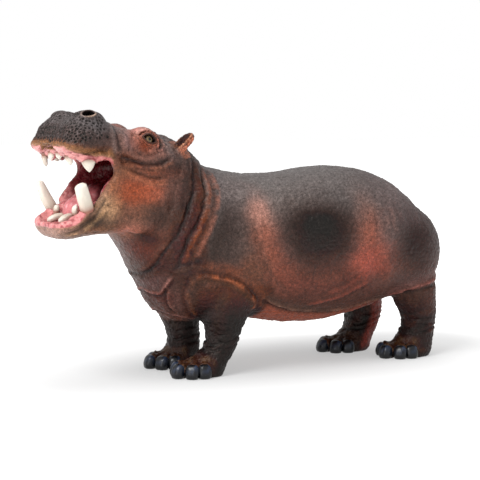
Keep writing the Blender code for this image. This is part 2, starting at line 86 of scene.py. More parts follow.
# ------------------------------------------------------------------ sections of the body
BARREL = [  # x, back line, belly line, half width
    (-29, 57.0, 23.4, 13.6), (-22, 65.0, 19.8, 18.2), (-12, 70.0, 18.2, 21.0), (0, 69.2, 17.8, 22.8),
    (12, 69.4, 15.7, 24.3), (24, 70.8, 14.9, 25.3), (36, 71.5, 16.0, 25.8), (48, 70.0, 18.9, 25.6),
    (57, 66.6, 21.6, 24.6), (65.5, 60.5, 24.4, 22.2), (72, 54.2, 26.4, 18.4), (76.6, 48.0, 29.0, 13.2), (79.6, 41.6, 32.5, 7.0)]
NECK = [    # x, z, tilt, half width, height above and below the centre
    (4, 44, 4, 21.3, 24.5, 25.6), (-7, 44.5, 14, 21.8, 25.6, 27.6), (-19.5, 47.5, 23, 20.6, 25.6, 29.6),
    (-28.5, 55, 31, 18.6, 21.2, 24.0), (-36, 62.5, 33, 16.8, 18.4, 20.0), (-42, 67, 33, 15.0, 16.5, 18.0)]
SKULL = [
    (-25, 67.2, 28, 13.5, 9.2, 12), (-33, 72.2, 25, 15.0, 10, 13), (-41.5, 75.3, 22, 14.2, 8.8, 10), (-49, 78, 18, 13.6, 7.6, 6.4),
    (-55, 80.4, 14, 14.0, 6.6, 5.0), (-61.5, 82.0, 9, 14.6, 7.4, 5.2), (-67.6, 82.4, 4, 14.9, 6.9, 5.2),
    (-71.5, 81.6, 0, 14.4, 5.6, 4.4), (-73.8, 80.9, 0, 12.6, 4.2, 3.6), (-75.2, 80.3, 0, 10.2, 2.8, 2.4), (-75.9, 80.0, 0, 6.8, 1.4, 1.2)]
JAW = [
    (-41, 63, -8, 14.6, 8, 13), (-50, 61, -20, 14.6, 9, 10.8), (-58, 58.2, -26, 14.3, 6.2, 8.6),
    (-65, 56.4, -26, 14.0, 4.9, 6.6), (-70, 54.8, -26, 13.4, 4.6, 5.4), (-73.6, 53.9, -24, 11.8, 3.8, 4.8), (-75.6, 53.4, -22, 9.2, 2.8, 3.6), (-76.6, 53.2, -20, 6.0, 1.5, 2.0)]
CHEEK = [
    (-32, 67, 20, 15.8, 13, 16), (-45, 68, 16, 15.4, 10.5, 14), (-53, 69.0, 8, 14.0, 8.4, 11.5), (-57.4, 69.2, 2, 13.0, 7.2, 9.0)]
GULLET = [
    (-47.5, 71.2, 20, 5.5, 3.0, 3.0), (-50.5, 70.8, 16, 8.6, 4.6, 6.0), (-54.5, 70.3, 8, 10.4, 6.4, 8.4),
    (-66, 69.2, 4, 11.4, 9.2, 11.0)]
LEGS = {    # from the top down: x, y, z, half width, reach to the rear, reach to the front
    "front_left": [(-9, -13.5, 36, 8.2, 11, 11), (-10.6, -12.6, 27, 8.0, 9.4, 9.6), (-12.2, -11.6, 20, 7.4, 8.0, 8.2),
                   (-12.2, -10.6, 14.7, 6.5, 6.1, 6.3), (-13.0, -10.2, 10.4, 6.2, 5.8, 6.0), (-15.6, -10, 6.6, 6.5, 6.0, 7.2),
                   (-17.8, -10, 3.2, 6.7, 6.2, 8.0), (-18.2, -10, 0, 6.3, 5.2, 8.0)],
    "front_right": [(-12, 13.5, 36, 8.2, 11, 12), (-16.5, 12.6, 27, 8.0, 9.6, 10.2), (-18.6, 11.2, 20, 7.4, 8.0, 8.0),
                    (-18.6, 10.4, 14.7, 6.5, 6.4, 6.2), (-17.8, 10.2, 10.4, 6.2, 6.0, 5.6), (-18.4, 10, 6.6, 6.5, 6.2, 6.0),
                    (-19.6, 10, 3.2, 6.7, 6.8, 7.2), (-19.4, 10, 0, 6.3, 6.2, 7.4)],
    "hind_left": [(64, -13, 36, 8.6, 10.0, 11.0), (66.8, -12.6, 27, 8.3, 7.8, 9.4), (68.2, -12, 21, 7.8, 7.3, 8.4),
                  (69.9, -11.4, 16, 7.0, 6.2, 7.2), (70.3, -11, 11.4, 6.6, 5.6, 6.6), (69.2, -11, 7.6, 6.8, 6.2, 7.6),
                  (67.8, -11, 3.4, 6.9, 6.8, 9.0), (67.4, -11, 0, 6.5, 6.2, 9.0)],
    "hind_right": [(57, 13, 36, 8.6, 11.5, 11), (58, 12.6, 27, 8.3, 10.0, 9.6), (59, 11.8, 19, 7.6, 8.1, 7.6),
                   (59.3, 10.8, 13.4, 6.8, 7.3, 6.8), (57.4, 10.2, 9.2, 6.5, 6.8, 6.2), (55.4, 10, 6.0, 6.6, 7.0, 6.8),
                   (54.2, 10, 3.0, 6.8, 7.0, 7.8), (53.6, 10, 0, 6.4, 6.4, 7.8)]}
FEET = {    # centre x, y, reach to the front, half width, directions of the four toes
    "front_left": (-21.5, -10.0, 9.6, 6.9, (-32, 10, 46, 82)), "front_right": (-22.2, 10.0, 9.4, 6.9, (-38, 0, 36, 72)),
    "hind_left": (63.6, -11.0, 10.2, 7.0, (-32, 10, 46, 82)), "hind_right": (50.4, 10.0, 10.2, 7.0, (-38, 0, 36, 72))}

# ------------------------------------------------------------------ building


def through(rows, n):
    """n rows on a smooth curve through the given rows, the first three numbers of each being a place."""
    P = np.array(rows, float)
    d = np.concatenate([[0.0], np.cumsum(np.linalg.norm(np.diff(P[:, :3], axis=0), axis=1))])
    h = np.diff(d)
    s = np.diff(P, axis=0) / h[:, None]
    T = np.zeros_like(P)
    T[0], T[-1] = s[0], s[-1]
    for i in range(1, len(P) - 1):
        T[i] = (h[i] * s[i - 1] + h[i - 1] * s[i]) / (h[i - 1] + h[i])
    u = np.linspace(0, d[-1], n)
    k = np.clip(np.searchsorted(d, u, side="right") - 1, 0, len(P) - 2)
    t, hk = ((u - d[k]) / h[k])[:, None], h[k][:, None]
    return ((2 * t**3 - 3 * t**2 + 1) * P[k] + (t**3 - 2 * t**2 + t) * hk * T[k]
            + (-2 * t**3 + 3 * t**2) * P[k + 1] + (t**3 - t**2) * hk * T[k + 1])


def head_matrix():
    a, (px, py) = HEAD_TURN
    P = Matrix.Translation(Vector((px, py, 0)))
    return P @ Matrix.Rotation(math.radians(a), 4, 'Z') @ P.inverted()


TURN = head_matrix()
TURN_NP = np.array(TURN)
UNTURN_NP = np.array(TURN.inverted())


def turned(P):
    P = np.atleast_2d(np.asarray(P, float))
    return P @ TURN_NP[:3, :3].T + TURN_NP[:3, 3]


def unturned(P):
    P = np.atleast_2d(np.asarray(P, float))
    return P @ UNTURN_NP[:3, :3].T + UNTURN_NP[:3, 3]


def oval(hw, up, dn, ex, n):
    a = np.linspace(0, 2 * math.pi, n, endpoint=False)
    c, s = np.cos(a), np.sin(a)
    return hw * np.sign(c) * np.abs(c) ** (2 / ex), np.where(s >= 0, up, dn) * np.sign(s) * np.abs(s) ** (2 / ex)


def loft(bm, rings, M=Matrix()):
    vs = [[bm.verts.new(M @ Vector(p)) for p in R] for R in rings]
    n = len(vs[0])
    for a, b in zip(vs[:-1], vs[1:]):
        for i in range(n):
            bm.faces.new((a[i], a[(i + 1) % n], b[(i + 1) % n], b[i]))
    for R, last in ((vs[0], False), (vs[-1], True)):
        mid = bm.verts.new(sum((v.co for v in R), Vector()) / n)
        for i in range(n):
            j = (i + 1) % n
            bm.faces.new((R[i], R[j], mid) if last else (R[j], R[i], mid))


def tube(bm, rows, steps, n=48, ex=2.3, M=Matrix()):
    rings = []
    for x, _, z, tilt, hw, up, dn in through([(r[0], 0.0) + tuple(r[1:]) for r in rows], steps):
        y, h = oval(hw, up, dn, ex, n)
        t = math.radians(tilt)
        rings.append(np.stack([x + h * math.sin(t), y, z + h * math.cos(t)], 1))
    loft(bm, rings, M)


def barrel(bm, steps=60, n=60, ex=2.3, low=0.46):
    rows = [(x, 0.0, bot + low * (top - bot), hw, (1 - low) * (top - bot), low * (top - bot)) for x, top, bot, hw in BARREL]
    rings = []
    for x, _, z, hw, up, dn in through(rows, steps):
        y, h = oval(hw, up, dn, ex, n)
        rings.append(np.stack([x + 0 * y, y, z + h], 1))
    loft(bm, rings)


def column(bm, rows, steps=28, n=32, ex=2.2):
    rings = []
    for x, y0, z, hw, back, front in through(rows, steps):
        y, h = oval(hw, back, front, ex, n)
        rings.append(np.stack([x + h, y0 + y, z + 0 * y], 1))
    loft(bm, rings)


def strand(bm, rows, steps, n=12, M=Matrix()):
    """A round tube whose radius is the fourth number of each row."""
    P = through(rows, steps)
    T = np.gradient(P[:, :3], axis=0)
    rings = []
    for p, t in zip(P, T):
        t = Vector(t).normalized()
        a = t.cross(Vector((0, 0, 1)) if abs(t.z) < 0.9 else Vector((0, 1, 0))).normalized()
        b = t.cross(a)
        rings.append([Vector(p[:3]) + (a * math.cos(k) + b * math.sin(k)) * max(p[3], 0.05) for k in np.linspace(0, 2 * math.pi, n, endpoint=False)])
    loft(bm, rings, M)


def spin(rot):
    return (Matrix.Rotation(math.radians(rot[2]), 4, 'Z') @ Matrix.Rotation(math.radians(rot[1]), 4, 'Y')
            @ Matrix.Rotation(math.radians(rot[0]), 4, 'X'))


def ball(bm, c, r, rot=(0, 0, 0), M=Matrix(), seg=28, ring=18):
    if not isinstance(r, tuple):
        r = (r, r, r)
    bmesh.ops.create_uvsphere(bm, u_segments=seg, v_segments=ring, radius=1.0,
                              matrix=M @ Matrix.Translation(Vector(c)) @ spin(rot) @ Matrix.Diagonal(r + (1,)))


def both(bm, c, r, rot=(0, 0, 0), M=Matrix()):
    ball(bm, c, r, rot, M)
    ball(bm, (c[0], -c[1], c[2]), r, (-rot[0], rot[1], -rot[2]), M)


def flip(p, s):
    return (p[0], p[1] * s, p[2])


def new_object(bm, name, collection=None):
    bmesh.ops.recalc_face_normals(bm, faces=bm.faces)
    me = bpy.data.meshes.new(name)
    bm.to_mesh(me)
    bm.free()
    ob = bpy.data.objects.new(name, me)
    (collection or WORK).objects.link(ob)
    return ob


def settle(ob):
    dg = bpy.context.evaluated_depsgraph_get()
    dg.update()
    me = bpy.data.meshes.new_from_object(ob.evaluated_get(dg))
    ob.modifiers.clear()
    old, ob.data = ob.data, me
    bpy.data.meshes.remove(old)
    return ob


def soften(ob, voxel, smooth, factor=0.5):
    m = ob.modifiers.new("join", 'REMESH')
    m.mode = 'VOXEL'
    m.voxel_size = voxel
    if smooth:
        s = ob.modifiers.new("soften", 'SMOOTH')
        s.factor, s.iterations = factor, smooth
    return settle(ob)


def cut(ob, cutter, operation='DIFFERENCE'):
    m = ob.modifiers.new(cutter.name, 'BOOLEAN')
    m.operation, m.object, m.solver = operation, cutter, 'EXACT'
    settle(ob)
    bpy.data.objects.remove(cutter, do_unlink=True)
    return ob


def toes(name):
    """Place and outward direction of each toe."""
    xc, yc, reach, hw, angles = FEET[name]
    for a in angles:
        t = math.radians(a)
        ux, uy = -math.cos(t), -math.sin(t)
        R = 1 / math.sqrt((math.cos(t) / reach) ** 2 + (math.sin(t) / hw) ** 2)
        yield (xc + ux * R, yc + uy * R), (ux, uy)


def ear_matrix(s):
    return (TURN @ Matrix.Translation(Vector(flip((-31.2, -12.9, 80.2), s))) @ Matrix.Rotation(math.radians(34 * s), 4, 'Z')
            @ Matrix.Rotation(math.radians(40 * s), 4, 'X') @ Matrix.Rotation(math.radians(22), 4, 'Y'))


def body():
    bm = bmesh.new()
    ball(bm, (-9, -13.5, 43), (14.5, 8.6, 22), (0, 8, 0))        # shoulders
    ball(bm, (-11, 13.5, 43), (14.5, 8.6, 22), (0, 8, 0))
    ball(bm, (60.6, -12.4, 40), (16.2, 12.2, 17.2), (0, -6, 0))  # thighs
    ball(bm, (58.2, 12.4, 40), (16.2, 12.2, 17.2), (0, -2, 0))
    barrel(bm)
    tube(bm, NECK, 36)
    masses = soften(new_object(bm, "masses"), VOXEL[0], 24)

    bm = bmesh.new()
    both(bm, (-66.2, -6.8, 82.8), (8.5, 8.3, 6.8), (0, 8, 0), TURN)      # muzzle
    both(bm, (-68.9, -9.0, 80.4), (7.2, 6.4, 3.5), (0, 0, 0), TURN)      # lobes of the upper lip
    ball(bm, (-64.2, -7.6, 87.4), (6.2, 5.0, 4.5), (0, 16, 0), TURN)     # nostril mounds
    ball(bm, (-64.2, 7.6, 87.1), (6.2, 5.0, 4.4), (0, 16, 0), TURN)
    ball(bm, (-43.6, -8.3, 81.2), (6.2, 4.2, 4.9), (0, 20, 0), TURN)     # brows
    ball(bm, (-44.4, 8.3, 82.2), (6.2, 4.2, 5.0), (0, 20, 0), TURN)
    ball(bm, (-34.0, 0, 77.6), (7.5, 10, 6.0), (0, 20, 0), TURN)         # crown
    both(bm, (-46.5, -10.6, 61.5), (12.0, 5.0, 11.0), (0, 20, 0), TURN)  # jowls
    for s in (1, -1):                                                    # corners of the mouth
        strand(bm, [flip(p, s) + (1.7,) for p in ((-60.4, -11.8, 77.6), (-57.4, -12.2, 75.4), (-55.9, -12.3, 72.2), (-56.4, -12.4, 69.2),
                                                   (-59.0, -12.6, 66.2), (-61.8, -12.6, 63.0), (-64.0, -12.0, 60.6))], 30, 12, TURN)
    both(bm, (-57.0, -11.2, 64.5), (5.0, 2.6, 6.0), (0, 30, 0), TURN)
    for name in LEGS:
        xc, yc, reach, hw, _ = FEET[name]
        ball(bm, (xc + 0.5, yc, 1.6), (reach - 1.6, hw - 0.7, 5.2))
        for (x, y), (ux, uy) in toes(name):
            ball(bm, (x - ux * 2.4, y - uy * 2.4, 2.4), (3.3, 2.5, 3.1), (0, 0, math.degrees(math.atan2(uy, ux))), seg=16, ring=10)
    tube(bm, SKULL, 40, ex=2.4, M=TURN)
    tube(bm, JAW, 34, ex=2.5, M=TURN)
    tube(bm, CHEEK, 22, ex=2.3, M=TURN)
    for rows in LEGS.values():
        column(bm, rows)
    bm.from_mesh(masses.data)
    whole = soften(new_object(bm, "whole"), VOXEL[1], 10)
    bpy.data.objects.remove(masses, do_unlink=True)

    def carve(name, *balls):
        for i, args in enumerate(balls):
            bm = bmesh.new()
            (both if args[0][1] else ball)(bm, *args, TURN)
            cut(whole, new_object(bm, name + str(i)))

    bm = bmesh.new()
    tube(bm, GULLET, 24, ex=2.2, M=TURN)
    cut(whole, new_object(bm, "gullet"))
    carve("mouth", ((-64.5, 0, 74.4), (11.0, 10.8, 5.2), (0, 4, 0)),                # palate
          ((-75.8, 0, 76.6), (5.4, 7.4, 4.2), (0, 0, 0)),                  # arch of the upper lip
          ((-69.2, 0, 61.0), (9.6, 10.8, 4.9), (0, -31, 0)))               # dish of the lower jaw
    bm = bmesh.new()
    bmesh.ops.create_cube(bm, size=1, matrix=Matrix.Translation((0, 0, -20.02)) @ Matrix.Diagonal((400, 200, 40, 1)))
    cut(whole, new_object(bm, "ground"))

    bm = bmesh.new()
    for s in (1, -1):
        ball(bm, (0, 0, 0.2), (1.7, 2.5, 5.0), M=ear_matrix(s))
    ears = new_object(bm, "ears")
    bm = bmesh.new()
    for s in (1, -1):
        ball(bm, (-1.75, 0, 1.4), (2.2, 1.8, 3.9), M=ear_matrix(s))
    cut(ears, new_object(bm, "ear_hollows"))

    bm = bmesh.new()
    bm.from_mesh(ears.data)
    bpy.data.objects.remove(ears, do_unlink=True)
    gum = [(-55, -9.0, 78.4, 0.7), (-57.5, -10.6, 77.4, 1.3), (-61, -11.7, 77.0, 1.7), (-65, -12.1, 76.9, 1.8), (-69, -11.2, 77.2, 1.8), (-71.3, -8.3, 78.1, 1.6),
           (-72.2, -4.3, 78.9, 1.4), (-72.4, 0, 79.2, 1.4)]
    strand(bm, gum + [(g[0], -g[1], g[2], g[3]) for g in gum[-2::-1]], 60, 14, TURN)
    column(bm, [(72.6, 0, 54.0, 2.4, 1.8, 3.0), (76.6, 0, 48.5, 2.4, 1.5, 3.0), (79.0, 0, 43.0, 2.2, 1.2, 2.6), (80.0, 0, 38.6, 2.0, 0.9, 1.8),
                (80.2, 0, 35.0, 1.3, 0.6, 0.9)], steps=16, n=20)
    bm.from_mesh(whole.data)
    bpy.data.objects.remove(whole, do_unlink=True)
    return soften(new_object(bm, "skin"), VOXEL[2], 2)


skin = body()
print("skin", len(skin.data.vertices))

# ------------------------------------------------------------------ sculpting on the skin's points


class Form:
    """The skin's points, faces and neighbours, kept as arrays while it is sculpted."""

    def __init__(self, me):
        self.me = me
        n = len(me.vertices)
        co = np.zeros(n * 3, np.float32)
        me.vertices.foreach_get("co", co)
        self.P = co.reshape(-1, 3).astype(float)
        self.E = np.zeros(len(me.edges) * 2, np.int32)
        me.edges.foreach_get("vertices", self.E)
        self.E = self.E.reshape(-1, 2)
        tri = np.zeros(len(me.loops), np.int32)
        me.loops.foreach_get("vertex_index", tri)
        start = np.zeros(len(me.polygons), np.int32)
        me.polygons.foreach_get("loop_start", start)
        size = np.zeros(len(me.polygons), np.int32)
        me.polygons.foreach_get("loop_total", size)
        ok = size == 4
        q = start[ok]
        self.Q = np.stack([tri[q], tri[q + 1], tri[q + 2], tri[q + 3]], 1)
        q = start[size == 3]
        self.T = np.stack([tri[q], tri[q + 1], tri[q + 2]], 1)
        self.n = n
        self.deg = np.bincount(self.E.ravel(), minlength=n).clip(1)
        self.normals()

    def normals(self):
        N = np.zeros((self.n, 3))
        P = self.P
        for F in (self.Q, self.T):
            if len(F):
                if F.shape[1] == 4:
                    f = np.cross(P[F[:, 2]] - P[F[:, 0]], P[F[:, 3]] - P[F[:, 1]])
                else:
                    f = np.cross(P[F[:, 1]] - P[F[:, 0]], P[F[:, 2]] - P[F[:, 0]])
                for k in range(F.shape[1]):
                    for a in range(3):
                        N[:, a] += np.bincount(F[:, k], f[:, a], minlength=self.n)
        self.N = N / np.linalg.norm(N, axis=1, keepdims=True).clip(1e-9)
        return self.N

    def mean(self, A):
        """The mean of A over each point's neighbours."""
        A = A.reshape(self.n, -1)
        out = np.empty_like(A)
        for a in range(A.shape[1]):
            out[:, a] = (np.bincount(self.E[:, 0], A[self.E[:, 1], a], minlength=self.n)
                         + np.bincount(self.E[:, 1], A[self.E[:, 0], a], minlength=self.n)) / self.deg
        return out

    def relax(self, weight, steps):
        """Smooth where weight is over 0."""
        near = weight[self.E].max(1) > 1e-4
        E = self.E[near]
        ids = np.unique(E)
        idx = np.full(self.n, -1)
        idx[ids] = np.arange(len(ids))
        e = idx[E]
        deg = np.bincount(e.ravel(), minlength=len(ids)).clip(1)
        w = weight[ids][:, None] * 0.5
        p = self.P[ids].copy()
        m = np.empty_like(p)
        for _ in range(steps):
            for a in range(3):
                m[:, a] = (np.bincount(e[:, 0], p[e[:, 1], a], minlength=len(ids)) + np.bincount(e[:, 1], p[e[:, 0], a], minlength=len(ids))) / deg
            p += (m - p) * w
        self.P[ids] = p

    def back(self):
        self.me.vertices.foreach_set("co", self.P.astype(np.float32).ravel())
        self.me.update()


def blob(P, c, r):
    """A soft ball of influence: 1 in its middle, 0 well outside."""
    d = (P - np.array(c, float)) / np.array(r, float)
    return np.exp(-(d * d).sum(1))




def noise(P, size, seed=0):
    """Smooth noise from -1 to 1 over points P, its lumps about size across."""
    Q = P / size + seed * 17.3
    I = np.floor(Q).astype(np.int64)
    F = Q - I
    F = F * F * F * (F * (F * 6 - 15) + 10)
    out = np.zeros(len(P))
    for dx in (0, 1):
        for dy in (0, 1):
            for dz in (0, 1):
                h = ((I[:, 0] + dx) * 374761393 + (I[:, 1] + dy) * 668265263 + (I[:, 2] + dz) * 2147483647 + seed * 1442695041) & 0xFFFFFFFF
                h = ((h ^ (h >> 13)) * 1274126177) & 0xFFFFFFFF
                h = (h ^ (h >> 16)) & 0xFFFF
                w = (F[:, 0] if dx else 1 - F[:, 0]) * (F[:, 1] if dy else 1 - F[:, 1]) * (F[:, 2] if dz else 1 - F[:, 2])
                out += w * (h / 32767.5 - 1)
    return out


def cells(P, size, seed=0):
    """Distance from each point to the nearest and second nearest of scattered centres about size apart, in units of size."""
    Q = P / size + seed * 9.7
    I = np.floor(Q).astype(np.int64)
    one, two = np.full(len(P), 9.0), np.full(len(P), 9.0)
    for dx in (-1, 0, 1):
        for dy in (-1, 0, 1):
            for dz in (-1, 0, 1):
                J = I + np.array((dx, dy, dz))
                d = np.zeros(len(P))
                for k, m in enumerate((73856093, 19349663, 83492791)):
                    h = (J[:, 0] * (m ^ 0x5bd1) + J[:, 1] * (m ^ 0x1b87) * 3 + J[:, 2] * (m ^ 0x7f4a) * 7 + seed * 7919) & 0xFFFFFFFF
                    h = ((h ^ (h >> 15)) * 2246822519) & 0xFFFFFFFF
                    h = ((h ^ (h >> 13)) & 0xFFFF) / 65535.0
                    d += (J[:, k] + 0.15 + 0.7 * h - Q[:, k]) ** 2
                near = d < one
                two = np.where(near, one, np.minimum(two, d))
                one = np.where(near, d, one)
    return np.sqrt(one), np.sqrt(two)


def ramp(x, a, b):
    """0 below a, 1 above b, smooth between."""
    t = np.clip((x - a) / (b - a), 0, 1)
    return t * t * (3 - 2 * t)


def bell(x, w):
    return np.exp(-(x / w) ** 2)


def subdivide(me, picked):
    """Each face whose points are all picked becomes four."""
    bm = bmesh.new()
    bm.from_mesh(me)
    bm.verts.ensure_lookup_table()
    edges = [e for e in bm.edges if picked[e.verts[0].index] and picked[e.verts[1].index]]
    bmesh.ops.subdivide_edges(bm, edges=edges, cuts=1, use_grid_fill=True, smooth=0.0)
    big = [f for f in bm.faces if len(f.verts) > 4]
    if big:
        bmesh.ops.triangulate(bm, faces=big)
    bm.to_mesh(me)
    bm.free()


# The places that carry finer detail get finer faces: the muzzle, the eyes, the ears.
form = Form(skin.data)
H = unturned(form.P)
w = np.maximum.reduce([blob(H, (-47, y, 70), (9, 7, 11)) for y in (-17, 17)] + [blob(H, (-38, y, 66), (9, 8, 14)) for y in (-17, 17)]
                      + [blob(form.P, (-30, y, 50), (12, 9, 20)) for y in (-20, 20)]) * (H[:, 0] > -62)
w = np.clip(w * 1.6, 0, 1) * np.clip((np.abs(H[:, 1]) - 9.0) / 3.0, 0, 1)
form.relax(w, 120)
form.back()


def within(P, c, r):
    return (((P - np.array(c, float)) / np.array(r, float)) ** 2).sum(1) < 1


def fine_places(P, r):
    H = unturned(P)
    H[:, 1] = -np.abs(H[:, 1])
    return H


H = fine_places(form.P, 1)
subdivide(skin.data, ((H[:, 0] < -52) & (H[:, 2] > 74)) | within(H, (-44, -11, 81.5), (8, 6, 6.5)) | within(H, (-29.5, -15, 82), (6, 6, 6)))
form = Form(skin.data)
H = fine_places(form.P, 1)
subdivide(skin.data, within(H, (-44, -12, 82), (4.4, 4, 3.8)) | within(H, (-64.8, -9.4, 90.6), (4.2, 3.4, 3.0)))
form = Form(skin.data)
skin.data.update()
print("fine", form.n)

